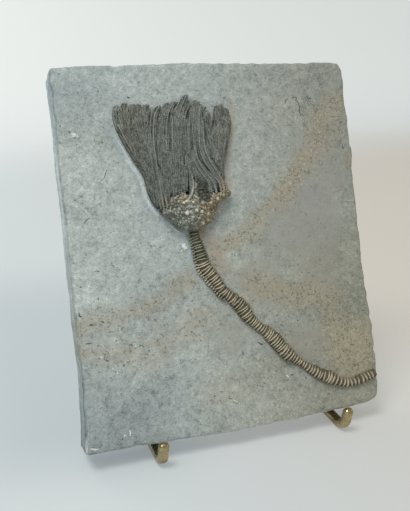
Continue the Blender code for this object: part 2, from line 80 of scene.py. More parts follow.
# Gaps whose two arms stay side by side up to their tips
CLOSED_GAPS = (2,)
NARROW_ARM = 11
NARROW_ARM_HALF_WIDTH = 0.75
CALYX_RELIEF = 6.6
STEM_FLATTENING = 0.54
STEM_RELIEFS = [(0.0, STEM_FLATTENING), (89.0, STEM_FLATTENING), (99.0, 0.26)]
# A crest of the crown lies this much to the left of where it is drawn, for each unit of height
SIGHT_SLOPE = 0.33
# A neighbour leaves room for an arm from this far below its fork
FORK_ROOM = 0.3
OUTER_HALF_WIDTHS = [(84.0, 0.65), (92.0, 0.8), (100.0, 1.25)]
# Stretches of the stem and the pitch of its columnals there
STEM_PITCHES = [(0.0, 58.0, 1.08), (58.0, 80.0, 1.22), (80.0, 99.5, 1.55)]

# Steps and grids of the meshes, in millimetres or as counts
ROUTE_STEPS = 16
OUTLINE_STEP = 1.2
MARK_STEP = 0.35
STEM_STEP = 0.4
BED_STEP = 0.22
BED_COLUMNS = 21
PINNULE_POINTS = 7
CALYX_COLUMNS = 220
CALYX_RINGS = 64
CORE_SIDES = 16
# The fossil's skins reach this far under the face, and no strand lies lower than this over it
UNDERSIDE = -0.4
LOWEST_STRAND = 0.3
GROOVE_WIDTH = 0.34
GROOVE_DEPTH = 0.95
# The tip of an arm rounds off over this length
TIP_LENGTH = 2.0
# Least and greatest length, half width and spacing of the pinnules
PINNULE_LENGTHS = (1.8, 4.6)
PINNULE_SIZES = (0.12, 0.18)
PINNULE_SPACINGS = (0.22, 0.34)
ARM_SEED = 20
# Inputs of the trees that set the plates of the arms and the nodules of the calyx
BRACHIALS = {"Pitch": 0.85, "Flatness": 0.8, "Length": 1.2, "Tilt": 0.05, "Unevenness": 0.08}
NODULES = {"Spacing": 0.86, "Size": 0.66, "Seed": 4}
# The calyx's skin lies this far under its relief, and its edge away from the arms is this high
NODULE_ROOM = 0.7
CALYX_FREE_EDGE = 0.7
# Stretch of the stem with a row of teeth along its right side
TOOTH_STRETCH = (1.5, 27.0)
# Courses of place and value: the crown's height by v, and sizes by the share of a length
CROWN_FADE = [(84.0, 1.0), (100.0, 0.92), (112.0, 0.62), (121.0, 0.25)]
TIP_NARROWING = [(0.0, 0.62), (1.5, 0.74), (4.0, 1.0)]
PINNULE_TAPER = [(0.0, 0.6), (0.15, 1.0), (0.7, 0.9), (1.0, 0.5)]
MARK_TAPER = [(0.0, 0.55), (0.25, 1.0), (0.75, 1.0), (1.0, 0.5)]
SPINE_TAPER = [(0.0, 0.42), (0.25, 0.5), (0.6, 0.32), (1.0, 0.1)]
# Steps in from the end of a bar, and its size there
BAR_END = [(0.0, 0.8), (0.12, 0.92), (0.35, 0.98), (0.7, 1.0)]
# Noise of the slab's face and walls: amount, cell size and seed
FACE_NOISE = [(0.16, 22.0, 1), (0.10, 8.0, 2), (0.08, 3.1, 3), (0.05, 1.5, 4)]
WALL_NOISE = [(0.14, 9.0, 5), (0.13, 3.5, 6), (0.10, 1.7, 7)]
# Grit, lumps and swells of the calyx: cell size and seed
CALYX_NOISE = [(0.55, 60), (1.5, 61), (3.6, 62)]
# Whole numbers that scatter the lattice of the noise
HASH_FACTORS = np.array([374761393, 668265263, 1442695041])
HASH_SEED_FACTOR = 974634777
HASH_STIR = 1274126177

# Ways in which one colour goes on another
PAINT = "MIX"
TINT = "MULTIPLY"
STONE_GREYS = [
    (0.15, (0.200, 0.220, 0.212)), (0.42, (0.350, 0.384, 0.368)),
    (0.60, (0.425, 0.462, 0.442)), (0.88, (0.610, 0.650, 0.620)),
]
PATCH_WANDER = 14.0
# Depths of the bumps in metres
STONE_BUMP = 0.00030
CALCITE_BUMP = 0.00024
BRASS_BUMP = 0.00004
BED_STRETCH = (0.05, 0.05, 1.0)
BED_TINTS = ((0.64, 0.66, 0.68), (1.28, 1.31, 1.35))
FLECK_COLOUR = (0.42, 0.43, 0.38)
# Darkest and lightest colours of each part of the fossil: painted shade in grooves and painted light on
# crests run between them, with the calcite's own tone
ARM_COLOURS = ((0.048, 0.052, 0.044), (0.240, 0.255, 0.225))
CALYX_COLOURS = ((0.190, 0.194, 0.164), (0.585, 0.59, 0.505))
STEM_COLOURS = ((0.088, 0.072, 0.045), (0.50, 0.45, 0.33))
# Tints of the fossil's parts and the share of each at x, v
ARM_TINTS = [
    ((1.0, 0.86, 0.70), lambda x, v: (x.above(-6.0, 8.0) + (-20.0 - x).above(0.0, 10.0)) * 0.35),
    ((1.40, 1.16, 0.92), lambda x, v: x.above(-0.5, 1.5) * (94.0 - v).above(0.0, 4.0)),
    ((1.16, 1.02, 0.84), lambda x, v: (x + 21.6).above(-2.2, 0.0) * (-19.6 - x).above(0.0, 2.0)
        * (88.0 - v).above(0.0, 5.0)),
    ((1.22, 1.30, 1.32), lambda x, v: (-32.6 - x).above(0.0, 0.8) * v.above(108.0, 113.0)),
    ((1.22, 1.22, 1.22), lambda x, v: x.above(-5.0, -1.5) * v.above(95.0, 99.0)
        * (112.0 - v).above(0.0, 5.0)),
    # Darker bases of the arms just above the calyx: partly dark grit, partly painted shade where they
    # leave it
    ((0.45, 0.52, 0.54), lambda x, v: x.above(-10.6, -9.0) * (-4.2 - x).above(0.0, 1.6)
        * (91.0 - v).above(0.0, 3.0)),
]
CALYX_TINTS = [
    ((1.0, 0.85, 0.69), lambda x, v: x.above(-15.0, -4.0) * 0.95),
    ((0.88, 0.93, 0.90), lambda x, v: (-12.5 - x).above(0.0, 3.0) * (80.0 - v).above(0.0, 3.0)),
    # Darker top left of the calyx where the arms leave it: partly dark pitted grit, partly painted shade
    ((0.74, 0.77, 0.75), lambda x, v: (-14.6 - x).above(0.0, 1.0) * v.above(80.0, 81.5)),
    ((1.10, 0.98, 0.90), lambda x, v: (-11.5 - x).above(0.0, 2.0) * v.above(81.0, 83.0)),
    # Darker top of the calyx right of the spine, under the arms: partly dark grit, partly painted shade
    ((0.30, 0.36, 0.38), lambda x, v: v.above(81.6, 84.0) * (-3.4 - x).above(0.0, 1.8)
        * x.above(-9.8, -8.6)),
]
STEM_TINTS = [
    ((0.54, 0.62, 0.59), lambda x, v: (v - 58.0).above(0.0, 6.0) * 0.9),
    # Browner right flank of the stem's top: partly its own colour, partly painted shade
    ((1.20, 0.92, 0.72), lambda x, v: (x + 8.2 - (67.0 - v) * 0.45).above(0.2, 1.6)
        * v.above(54.0, 58.0)),
    ((0.62, 0.55, 0.45), lambda x, v: v * 0.0 + 0.3),
]

# The studio, in metres. A light has its place, aim, size, power and colour.
SWEEP_BACK = 0.75
FLOOR_GAP = 0.00015
LIGHTS = [
    ("key_light", (-0.38, -0.3, 0.95), (0.0, 0.0, 0.06), 0.4, 7.4, (0.97, 1.0, 0.985)),
    ("back_light", (-0.5, 0.85, 0.95), (-0.45, 1.25, 0.3), 0.5, 7.0, (0.99, 1.0, 0.97)),
    ("warm_light", (0.9, -0.35, 0.4), (0.0, 0.0, 0.06), 0.6, 1.2, (1.0, 0.82, 0.64)),
]
CAMERA_PLACE = (-87.3 * MM, (-210.2 + FRONT_EDGE_Y) * MM, (137.7 + FRONT_EDGE_Z) * MM)
CAMERA_YAW = math.radians(18.95)
CAMERA_PITCH = math.radians(17.61)
CAMERA_SENSOR = 36.0
# Focal length over the sensor's width
CAMERA_REACH = 700.0 / 410.0

SLAB_OUTLINE = [
    (-57.7, 0.8), (-57.5, -0.5), (-56.6, -1.0), (-48.0, -0.9), (-40.0, -0.9), (-33.0, -1.1),
    (-26.0, -1.3), (-20.0, -1.4), (-12.0, -1.7), (-4.0, -1.8), (5.0, -1.7), (14.0, -1.8), (20.0, -1.7),
    (28.0, -1.5), (34.0, -1.2), (39.5, -1.1), (46.0, -1.0), (50.5, -0.8), (54.0, -0.4), (56.3, 0.3),
    (57.6, 1.6), (58.1, 4.0), (58.6, 10.0), (58.9, 16.0), (58.9, 22.0), (58.9, 28.0), (58.6, 35.0),
    (58.2, 42.0), (57.9, 50.0), (57.9, 60.0), (58.0, 70.0), (57.8, 78.0), (57.9, 84.0), (58.3, 91.0),
    (58.6, 98.0), (58.5, 105.0), (58.2, 112.0), (58.2, 119.0), (58.6, 125.0), (58.7, 128.4),
    (58.3, 131.0), (57.4, 133.0), (56.2, 134.4), (50.0, 134.8), (42.0, 134.7), (34.0, 134.7),
    (26.0, 134.8), (18.0, 134.9), (8.0, 134.9), (-2.0, 135.2), (-12.0, 135.4), (-22.0, 134.8),
    (-32.0, 134.9), (-42.0, 135.0), (-50.0, 134.6), (-54.8, 134.3), (-56.1, 133.8), (-56.6, 132.6),
    (-56.6, 129.0), (-56.4, 122.0), (-56.3, 114.0), (-56.5, 106.0), (-56.5, 96.0), (-56.4, 86.0),
    (-56.3, 76.0), (-56.4, 66.0), (-56.5, 56.0), (-56.4, 46.0), (-56.3, 36.0), (-56.2, 26.0),
    (-56.7, 16.0), (-57.0, 8.0),
]
SLAB_LAYERS = [
    (0.0, 0.5), (-0.4, 0.15), (-1.2, 0.0), (-5.0, 0.0), (-9.5, 0.3), (-13.4, 0.6), (-14.5, 1.0),
    (-15.0, 1.8),
]
# The left side is cut squarer than the others: share of the inset that it has behind the face
LEFT_INSET = 0.3
SQUARE_DEPTHS = (-14.8, -5.5)
SLAB_VOXEL = 0.68

CALYX_MIDDLE = (-11.0, 79.2)
CALYX_OUTLINE = [
    (-8.3, 73.6), (-5.4, 74.9), (-3.3, 76.3), (-1.9, 78.2), (-1.2, 80.3), (0.0, 82.2), (1.6, 83.7),
    (3.8, 84.7), (4.8, 86.1), (4.0, 86.9), (2.6, 86.5), (0.6, 85.9), (-2.5, 85.8), (-3.9, 86.6),
    (-4.2, 88.6), (-5.4, 90.6), (-6.6, 91.8), (-7.6, 90.9), (-7.9, 88.0), (-8.2, 86.2), (-8.9, 85.6),
    (-10.6, 85.7), (-12.0, 86.9), (-13.3, 87.8), (-14.6, 86.4), (-16.0, 87.0), (-17.3, 85.2),
    (-18.2, 84.2), (-18.7, 81.8), (-20.6, 80.6), (-21.2, 80.1), (-19.5, 78.9), (-18.6, 77.5),
    (-17.3, 75.7), (-15.3, 74.2), (-12.8, 73.6),
]
CALYX_ARM_EDGE = range(8, 31)
# Tan ridge that bends up between two bundles of arms, x, v and n
CALYX_SPINE = [
    (-13.6, 83.3, 5.0), (-12.2, 84.8, 5.5), (-10.8, 87.4, 5.4), (-10.3, 90.4, 5.1), (-10.4, 93.6, 4.8),
]
# Larger knobs: place, radius and brightness
CALYX_TUBERCLES = [
    ((-13.9, 79.3), 0.9, 1.5), ((-14.7, 83.1), 0.65, 1.3), ((-13.6, 83.5), 0.6, 1.3),
    ((-17.3, 85.0), 0.55, 1.1), ((-16.3, 83.8), 0.55, 1.0), ((-15.3, 84.6), 0.5, 0.9),
    ((-8.3, 79.4), 0.8, 1.1), ((-5.6, 78.6), 0.7, 0.9), ((-3.4, 79.6), 0.6, 0.9),
    ((-8.0, 75.3), 0.7, 1.1), ((-1.6, 83.6), 0.7, 1.0), ((0.9, 84.8), 0.6, 1.1),
    ((2.4, 85.0), 0.5, 1.0), ((-7.6, 82.4), 0.7, 0.7), ((-11.8, 77.6), 0.6, 0.6),
    ((-17.0, 79.8), 0.5, 0.5), ((-6.9, 80.6), 0.6, 0.9), ((-12.3, 81.4), 0.55, 0.8),
    ((-15.8, 81.7), 0.7, 0.5), ((-10.3, 79.9), 0.8, 0.9), ((-11.2, 83.0), 0.6, 1.2),
    ((-4.6, 82.2), 0.75, 0.8), ((-9.6, 77.2), 0.7, 0.5), ((-13.4, 76.2), 0.7, 0.35),
    ((-18.2, 81.0), 0.6, 0.7), ((-5.9, 76.4), 0.6, 1.0),
]

ARM_ROUTES = [
    [(-23.9, 84.6), (-25.1, 89), (-25.6, 93.4), (-26.8, 96.8), (-28.7, 100.2), (-30.9, 104.7),
     (-32.5, 108.5), (-33.8, 112), (-34.3, 117), (-33.8, 119.9)],
    [(-24.8, 91.5), (-25.1, 94.4), (-25.7, 97), (-27.0, 100.2), (-28.9, 104.7), (-30.2, 108.5),
     (-31.3, 112), (-31.4, 117), (-30.8, 120.7)],
    [(-22.9, 83.4), (-23.7, 89), (-24.1, 93), (-24.7, 96.8), (-25.5, 100.2), (-26.9, 104.7),
     (-28.0, 108.5), (-28.6, 112), (-28.3, 117), (-27.7, 120.1)],
    [(-23.3, 92.5), (-23.7, 96.8), (-24.3, 100.2), (-25.2, 104.7), (-26.1, 108.5), (-26.5, 112),
     (-26.3, 117), (-25.8, 120.0)],
    [(-21.9, 82.4), (-22.3, 88), (-22.5, 93), (-22.8, 98), (-23.2, 102), (-23.9, 106),
     (-24.4, 110), (-24.3, 113), (-23.6, 116.5), (-22.8, 119.8)],
    [(-20.7, 81.2), (-21.0, 86), (-21.3, 92), (-21.6, 100), (-21.6, 106), (-21.1, 111),
     (-19.9, 116), (-17.8, 119.2)],
    [(-19.3, 82.4), (-19.7, 87), (-19.9, 92), (-19.5, 100), (-19.2, 106), (-18.6, 112),
     (-17.0, 116.5), (-14.6, 120.2)],
    [(-18.1, 85.2), (-17.9, 94), (-17.2, 100), (-16.8, 106), (-16.3, 111), (-15.0, 116),
     (-12.4, 120.6)],
    [(-16.2, 86.6), (-15.6, 94), (-14.9, 100), (-14.5, 106), (-14.1, 111), (-12.9, 116),
     (-10.3, 120.4)],
    [(-14.1, 87.2), (-13.3, 94), (-12.6, 100), (-12.3, 106), (-11.9, 111), (-10.8, 116),
     (-7.4, 122.9)],
    [(-12.0, 87.4), (-11.2, 94), (-10.7, 100), (-10.1, 106), (-9.7, 111), (-8.4, 116),
     (-6.0, 120.3)],
    [(-9.8, 86), (-9.0, 91), (-9.0, 96), (-8.9, 101), (-8.5, 105), (-8.0, 109), (-7.5, 112.5),
     (-6.4, 117), (-5.1, 120.6)],
    [(-2.2, 86.8), (-2.8, 89.5), (-4.3, 92), (-5.7, 94.5), (-6.8, 97), (-7.4, 99.5),
     (-7.5, 102), (-7.2, 105), (-6.8, 108), (-6.2, 112), (-5.1, 117), (-4.0, 120.8)],
    [(-0.4, 86.6), (-1.0, 89.5), (-2.5, 92), (-4.0, 94.5), (-5.2, 96.8), (-6.0, 99),
     (-6.2, 102), (-5.9, 105), (-5.5, 108), (-5.0, 112), (-4.0, 116.5), (-3.0, 120.2)],
    [(1.5, 87.1), (1.1, 89.5), (0.0, 91.6), (-1.3, 93.8), (-2.7, 96), (-3.9, 98.5),
     (-4.5, 101), (-4.6, 104), (-4.3, 108), (-3.9, 112), (-3.1, 116), (-2.3, 119.3)],
    [(2.7, 87.4), (2.4, 90), (1.4, 92.2), (0.3, 94.4), (-1.0, 96.8), (-2.0, 99), (-2.7, 101.5),
     (-2.9, 104), (-2.7, 108), (-2.4, 112), (-2.0, 115.5), (-1.4, 118.3)],
    [(0.2, 98.8), (-0.5, 101), (-0.8, 104), (-0.4, 108), (0.1, 111), (0.1, 114), (-0.3, 116.8)],
    [(1.9, 93.6), (1.4, 96), (1.1, 98.5), (1.0, 101), (1.4, 105), (2.3, 109), (3.2, 112.5),
     (3.7, 115.5), (3.9, 118.6)],
    [(2.4, 97.6), (2.8, 101), (3.6, 105), (4.7, 109), (5.5, 113.5), (5.6, 118.9)],
    [(3.9, 87.4), (3.1, 90.3), (2.9, 94.9), (3.6, 98), (4.5, 101), (5.8, 105.4), (6.9, 109),
     (7.5, 113), (7.2, 117.6)],
]
# Deep grooves between bundles of arms
CROWN_GROOVES = [
    [(-19.9, 84), (-19.8, 89), (-19.7, 93), (-20.3, 97)], [(-22.3, 92), (-22.4, 99)],
    [(-20.9, 97), (-20.8, 103), (-20.3, 107), (-19.8, 110), (-19.1, 113.5), (-18, 117.5)],
    [(-15.6, 102), (-15.15, 107), (-15.0, 112), (-14.5, 116)],
    [(-10.8, 97), (-10.8, 102), (-10.3, 106), (-9.9, 110.5)], [(-7.4, 102), (-7.2, 107), (-6.9, 111)],
    [(-5.4, 100.5), (-5.5, 104.5)],
    [(1.1, 86.5), (0.5, 90), (-1.0, 93), (-3.2, 95.5), (-5.1, 98.5), (-5.6, 101)],
    [(3.3, 87), (2.8, 91), (2.0, 94), (0.6, 96.5), (-0.7, 98.8)],
    [(-2.1, 104), (-1.8, 108), (-1.7, 112), (-2.2, 116)], [(-10.6, 101.6), (-8.2, 98.6)],
    [(-34.0, 106), (-34.2, 112), (-33.9, 117)], [(-13.4, 113), (-12.7, 117), (-11.7, 119.3)],
    [(-8.1, 114), (-7.4, 116.5), (-6.2, 118.2)], [(-7.9, 92.2), (-8.0, 89.9), (-8.4, 87.4)],
]

# How clearly the ridge of each arm stands out of the felt of pinnules, by v
RIDGE_STRENGTHS = [
    [(84, 0.3), (100, 0.45), (106, 0.9), (120, 0.7)],
    [(90, 0.2), (112, 0.3), (120, 0.5)],
    [(84, 0.15), (100, 0.2), (110, 0.35)],
    [(92, 0.3), (104, 0.25), (119, 0.45)],
    [(82, 0.5), (98, 0.6), (104, 0.3), (119, 0.4)],
    [(82, 0.9), (100, 0.9), (112, 1.0), (119, 0.9)],
    [(84, 1.0), (98, 0.9), (104, 0.35), (119, 0.45)],
    [(86, 0.3), (98, 0.35), (104, 0.7), (112, 0.8), (120, 0.7)],
    [(87, 0.3), (98, 0.45), (104, 0.85), (120, 1.0)],
    [(88, 0.4), (98, 0.5), (112, 0.45), (122, 0.8)],
    [(88, 0.35), (98, 0.5), (104, 0.75), (120, 0.7)],
    [(86, 0.5), (96, 0.5), (106, 0.7), (112, 0.8), (120, 0.4)],
    [(87, 0.5), (96, 0.85), (104, 0.7), (112, 0.7), (120, 0.4)],
    [(87, 0.9), (98, 0.9), (106, 0.4), (120, 0.3)],
    [(87, 0.9), (100, 1.0), (112, 0.8), (119, 0.5)],
    [(87, 1.0), (102, 1.0), (112, 0.7), (118, 0.4)],
    [(98, 0.3), (116, 0.2)],
    [(93, 0.6), (99, 0.3), (118, 0.2)],
    [(97, 0.2), (119, 0.15)],
    [(87, 0.6), (96, 0.3), (117, 0.2)],
]

STEM_ROUTE = [
    (-10.6, 73.1), (-10.4, 71), (-9.8, 68), (-9.2, 65), (-8.7, 62), (-7.7, 59), (-5.7, 56.1),
    (-3.9, 53.4), (-2.1, 50.2), (0.1, 48.2), (2.3, 46.1), (4.3, 43.7), (5.8, 41.2), (7.1, 39.1),
    (9.0, 37.0), (10.6, 35.2), (12.6, 33.6), (15.0, 31.3), (16.9, 28.9), (18.7, 26.3), (20.6, 23.9),
    (23.1, 21.9), (25.6, 19.9), (27.7, 18.3), (29.7, 16.7), (32.2, 14.9), (34.7, 13.4), (37.2, 12.3),
    (39.6, 10.9), (42.5, 9.5), (45.5, 8.9), (48.6, 9.1), (51.6, 9.6), (54.6, 10.3), (57.2, 11.1),
]
STEM_WIDTHS = [
    (0.0, 4.0), (4.0, 4.1), (7.0, 4.6), (10.0, 5.1), (13.0, 5.3), (16.0, 5.2), (19.0, 5.2), (22.0, 4.8),
    (25.0, 4.2), (28.0, 4.4), (31.0, 4.9), (34.0, 5.8), (37.0, 6.1), (40.0, 4.9), (43.0, 3.8),
    (46.0, 3.8), (49.0, 4.9), (52.0, 5.8), (55.0, 5.4), (58.0, 5.6), (61.0, 5.2), (64.0, 3.9),
    (67.0, 3.0), (70.0, 3.4), (73.0, 4.1), (76.0, 4.8), (79.0, 5.4), (82.0, 5.2), (85.0, 4.1),
    (88.0, 3.4), (91.0, 3.7), (94.0, 4.0), (98.0, 4.1),
]

# Ochre stains in the stone: route, half width and strength
STAINS = [
    ([(58, 119), (51, 118), (46, 111), (43, 103)], 7.0, 0.9), ([(58, 97), (57.4, 94)], 1.6, 1.0),
    ([(43, 103), (37, 96), (31, 90), (26, 84)], 5.5, 1.0),
    ([(30, 90), (20, 79), (12, 71.5), (5, 68), (-3, 65)], 5.5, 0.9),
    ([(-56, 43), (-50, 45), (-40, 46), (-30, 47), (-20, 52), (-10, 58)], 5.5, 0.7),
    ([(-56, 35), (-50, 33), (-36, 31), (-22, 34), (-12, 42)], 8.0, 0.62),
    ([(12, 50), (20, 47), (32, 44), (41, 42)], 6.0, 0.9),
    ([(41, 42), (42, 33), (45, 22), (50, 15)], 9.0, 0.85), ([(45, 24), (57, 25)], 9.0, 0.7),
    ([(22, 24), (6, 14), (-10, 12)], 8.0, 0.45), ([(-8, 74), (-5, 66), (-3, 60)], 3.0, 0.8),
]
# Smooth patches: place, radius and strength
SMOOTH = [
    ((33, 73), 17.0, 1.0), ((44, 92), 12.0, 0.8), ((38, 56), 11.0, 0.8), ((29, 26), 8.0, 0.9),
    ((14, 52), 9.0, 0.8), ((20, 62), 9.0, 0.6), ((0, 34), 7.0, 0.5),
]
# Chips of white calcite: place and radius
WHITE_CHIPS = [
    ((-50.0, 110.0), 0.8), ((-49.2, 109.1), 0.6), ((-15.0, 68.0), 0.9), ((-14.2, 67.2), 0.7),
    ((-42.0, 4.0), 0.6), ((-15.8, 66.4), 0.5),
]
# Bluish band that the scraping tool left round the crown and the top of the stem
PREPARED_RIM = [
    (-37.3, 113), (-35.8, 108.6), (-34, 104.8), (-31.7, 100.2), (-29.9, 97.2), (-28.3, 94.4),
    (-27.2, 90.9), (-26.8, 86.9), (-25.4, 83.4), (-22.7, 79.9), (-20.1, 77.2), (-16.8, 73.8),
    (-13.9, 71.3), (-13, 66), (-12.2, 61), (-9.8, 56.5), (-8.0, 53.5),
]
RIM_LINE = [
    (-32.6, 100.4), (-30.6, 97.6), (-28.9, 94.6), (-27.7, 91.1), (-27.4, 87), (-26, 83.4),
    (-23.2, 79.7),
]
# Dark veinlets and pits in the face, and pale chips: route and radius
DARK_MARKS = [
    ([(35.9, 119.9), (37.0, 119.2), (37.6, 117.4), (37.4, 115.6), (38.1, 114.3), (39.6, 113.7)], 0.24),
    ([(31.8, 118.6), (32.1, 120.0), (33.4, 120.7)], 0.2), ([(33.0, 116.7), (33.6, 117.6)], 0.26),
    ([(34.6, 120.9), (35.9, 121.2), (37.1, 120.6)], 0.2),
    ([(40.9, 121.6), (41.8, 120.4), (41.5, 119.1)], 0.22),
    ([(-40.1, 97.6), (-40.9, 95.2), (-42.6, 93.4)], 0.16), ([(34.2, 115.6), (35.2, 115.1)], 0.22),
    ([(42.2, 120.8), (43.1, 120.3)], 0.4), ([(54.4, 101.4), (54.7, 99.9)], 0.34),
    ([(-53.6, 57.5), (-53.1, 57)], 0.42), ([(-48.1, 52.9), (-47.7, 52.2)], 0.4),
    ([(-51.9, 43.8), (-50.5, 43.7)], 0.42), ([(-47.6, 44.6), (-46.5, 44)], 0.34),
    ([(-41.6, 28.5), (-41, 27.9)], 0.46), ([(-40.3, 125.7), (-39.8, 125)], 0.38),
    ([(-30, 123), (-29, 122.6)], 0.36), ([(20.7, 130.7), (21.3, 130)], 0.42),
    ([(9.8, 29.4), (10.5, 28.8), (11.4, 28.3)], 0.36), ([(18.3, 38.6), (18.9, 38)], 0.42),
    ([(26.6, 35.7), (27.3, 35.1)], 0.38), ([(27.4, 13.6), (28, 13)], 0.38),
    ([(-47.7, 81), (-48.8, 80.4), (-50, 79.3)], 0.17),
    ([(-48.2, 62), (-47.3, 62.2), (-46.4, 61.7)], 0.2),
    ([(-55.1, 48.8), (-54.9, 47.5), (-54.2, 47)], 0.34),
    ([(-54.1, 37.5), (-52.7, 37.7), (-51.6, 37.5)], 0.26), ([(-38.4, 35.4), (-37.4, 34.6)], 0.32),
    ([(-35.4, 34), (-34.5, 34.5), (-33.6, 33.6)], 0.28), ([(-32.2, 32.5), (-31.5, 31.9)], 0.32),
    ([(-49.9, 32.2), (-49.3, 31.6)], 0.32), ([(-47.6, 31), (-46.8, 30.5)], 0.32),
    ([(-44.8, 26.8), (-44.2, 26.2)], 0.28), ([(-44.7, 3.3), (-44.4, 2.4)], 0.32),
    ([(-9.5, 12.6), (-9, 12.1)], 0.4), ([(-11, 11.2), (-10.6, 10.7)], 0.4),
    ([(-4, 10.6), (-2.8, 10.4)], 0.28), ([(-1.6, 8.6), (-0.8, 8.2)], 0.28),
    ([(21.6, 15.6), (22.6, 15.3)], 0.32), ([(-52, 111.5), (-51.3, 111)], 0.4),
    ([(-54.9, 113.9), (-54.4, 113.4)], 0.34), ([(23, 2.2), (23.4, 1.8)], 0.3),
]
PALE_MARKS = [
    ([(-35.5, 108.6), (-33.7, 105.2), (-31.5, 100.2), (-29.8, 97.7), (-28.2, 94.6), (-26.9, 91.3)], 0.3),
    ([(-26.8, 90.3), (-26.6, 86.9), (-25.3, 83.5), (-22.6, 80)], 0.34),
    ([(-20.1, 77.3), (-16.8, 73.8), (-13.9, 71.6)], 0.3),
    ([(-50.7, 85.3), (-49.2, 83.6), (-47.7, 81.6)], 0.18),
    ([(-51, 110.6), (-50, 110), (-48.6, 109.2)], 0.62), ([(-54.3, 113.6), (-53.7, 113.2)], 0.32),
    ([(-45.6, 27.8), (-45, 27.2)], 0.34), ([(-44, 25.9), (-43.5, 25.3)], 0.34),
    ([(-43.9, 4.4), (-43.6, 3.5)], 0.5), ([(-42.2, 5.3), (-41.3, 4.9)], 0.36),
    ([(-56, 1.5), (-54.6, 1), (-53, 1)], 0.4), ([(-2.6, 10), (-1.7, 9.3), (-0.7, 8.5)], 0.36),
    ([(19.9, 15.6), (20.3, 14.9), (20.9, 14.5)], 0.3), ([(-49, 32.6), (-48.5, 31.8)], 0.32),
    ([(-36.6, 34.6), (-36, 34.1)], 0.34), ([(-33.2, 33.4), (-32.6, 33)], 0.3),
]
# Tan edges of the face beside the stem and along the crown's right side
STEM_TAN = [(-3.6, 69.5), (-2.8, 66), (-2.0, 62.5), (-0.8, 59.5), (1.0, 57)]
TAN_RIM = [(6.2, 87.5), (5.4, 92), (5.6, 97), (7.6, 103), (9.3, 109), (10.2, 114), (9.6, 119)]


# ---------------------------------------------------------------- arithmetic on arrays

def slab_to_world(points):
    """Rows of x, v, n in millimetres, as world metres."""
    lean_sin = math.sin(SLAB_LEAN)
    lean_cos = math.cos(SLAB_LEAN)
    placed = np.empty_like(points, dtype=float)
    placed[:, 0] = points[:, 0] + FACE_X
    placed[:, 1] = points[:, 1] * lean_sin - points[:, 2] * lean_cos + FRONT_EDGE_Y
    placed[:, 2] = points[:, 1] * lean_cos + points[:, 2] * lean_sin + FRONT_EDGE_Z
    return placed * MM


def lattice_noise(points, size, seed):
    """Smooth noise from -1 to 1 at each row of points, with cells of the given size."""
    cells = np.asarray(points, dtype=float) / size
    base = np.floor(cells).astype(np.int64)
    share = cells - base
    share = share * share * (3.0 - 2.0 * share)
    total = np.zeros(len(cells))
    for corner in range(8):
        step = np.array([(corner >> axis) & 1 for axis in range(3)])
        mixed = (base + step) @ HASH_FACTORS + seed * HASH_SEED_FACTOR
        mixed = (mixed ^ (mixed >> 13)) * HASH_STIR
        value = ((mixed ^ (mixed >> 16)) & 0xFFFF) / 32767.5 - 1.0
        total += np.prod(np.where(step == 1, share, 1.0 - share), axis=1) * value
    return total


def noise_sum(points, layers):
    """Several layers of noise, each with its amount, cell size and seed."""
    return sum(amount * lattice_noise(points, size, seed) for amount, size, seed in layers)


def smooth_step(low, high, values):
    """0 at low, 1 at high and a smooth course between."""
    share = np.clip((values - low) / (high - low), 0.0, 1.0)
    return share * share * (3.0 - 2.0 * share)


def bell(distance, width):
    """1 where the distance is nothing, and fading away over the width."""
    return np.exp(-(distance / width) ** 2)


def distance_to_route(x, v, route):
    """Distance of each x, v to the nearest stretch of a route."""
    nearest = np.full(np.shape(x), np.inf)
    for (xa, va), (xb, vb) in zip(route, route[1:]):
        along_x = xb - xa
        along_v = vb - va
        length = along_x * along_x + along_v * along_v
        share = np.clip(((x - xa) * along_x + (v - va) * along_v) / length, 0.0, 1.0)
        gap = np.hypot(x - xa - share * along_x, v - va - share * along_v)
        nearest = np.minimum(nearest, gap)
    return nearest


def course(places, table):
    """Values of a table of place and value, at the places."""
    return np.interp(places, *np.array(table, dtype=float).T)


def smooth_route(route, spacing, closed=False):
    """Evenly spaced points on a smooth curve through the route, and their places along it."""
    points = np.array(route, dtype=float)
    count = len(points)
    fine = []
    for index in range(count if closed else count - 1):
        near = [index + k for k in (-1, 0, 1, 2)]
        near = [k % count if closed else min(max(k, 0), count - 1) for k in near]
        p0, p1, p2, p3 = points[near]
        for t in np.arange(ROUTE_STEPS) / ROUTE_STEPS:
            fine.append(0.5 * (2 * p1 + (p2 - p0) * t + (2 * p0 - 5 * p1 + 4 * p2 - p3) * t ** 2
                               + (3 * p1 - p0 - 3 * p2 + p3) * t ** 3))
    fine.append(points[0] if closed else points[-1])
    fine = np.array(fine)
    along = np.concatenate([[0.0], np.cumsum(np.linalg.norm(np.diff(fine, axis=0), axis=1))])
    steps = max(int(round(along[-1] / spacing)), 1)
    places = np.linspace(0.0, along[-1], steps + 1)
    if closed:
        places = places[:-1]
    even = np.stack([np.interp(places, along, fine[:, k]) for k in range(fine.shape[1])], axis=1)
    return even, places


# ---------------------------------------------------------------- meshes and pieces

def ring_quads(rows, columns, first=0):
    """Quads between closed rings of equal length, whose points are numbered from first."""
    quads = []
    for row in range(rows - 1):
        low = first + row * columns
        for step in range(columns):
            after = (step + 1) % columns
            quads.append((low + step, low + after, low + columns + after, low + columns + step))
    return quads


def loft_faces(rows, columns):
    """Quads of a closed skin over rows of equal length, and its two flat ends."""
    last = (rows - 1) * columns
    ends = [tuple(reversed(range(columns))), tuple(range(last, last + columns))]
    return ring_quads(rows, columns) + ends


def add_object(name, data):
    made = bpy.data.objects.new(name, data)
    bpy.context.scene.collection.objects.link(made)
    return made


def remove_object(holder):
    bpy.data.objects.remove(holder, do_unlink=True)


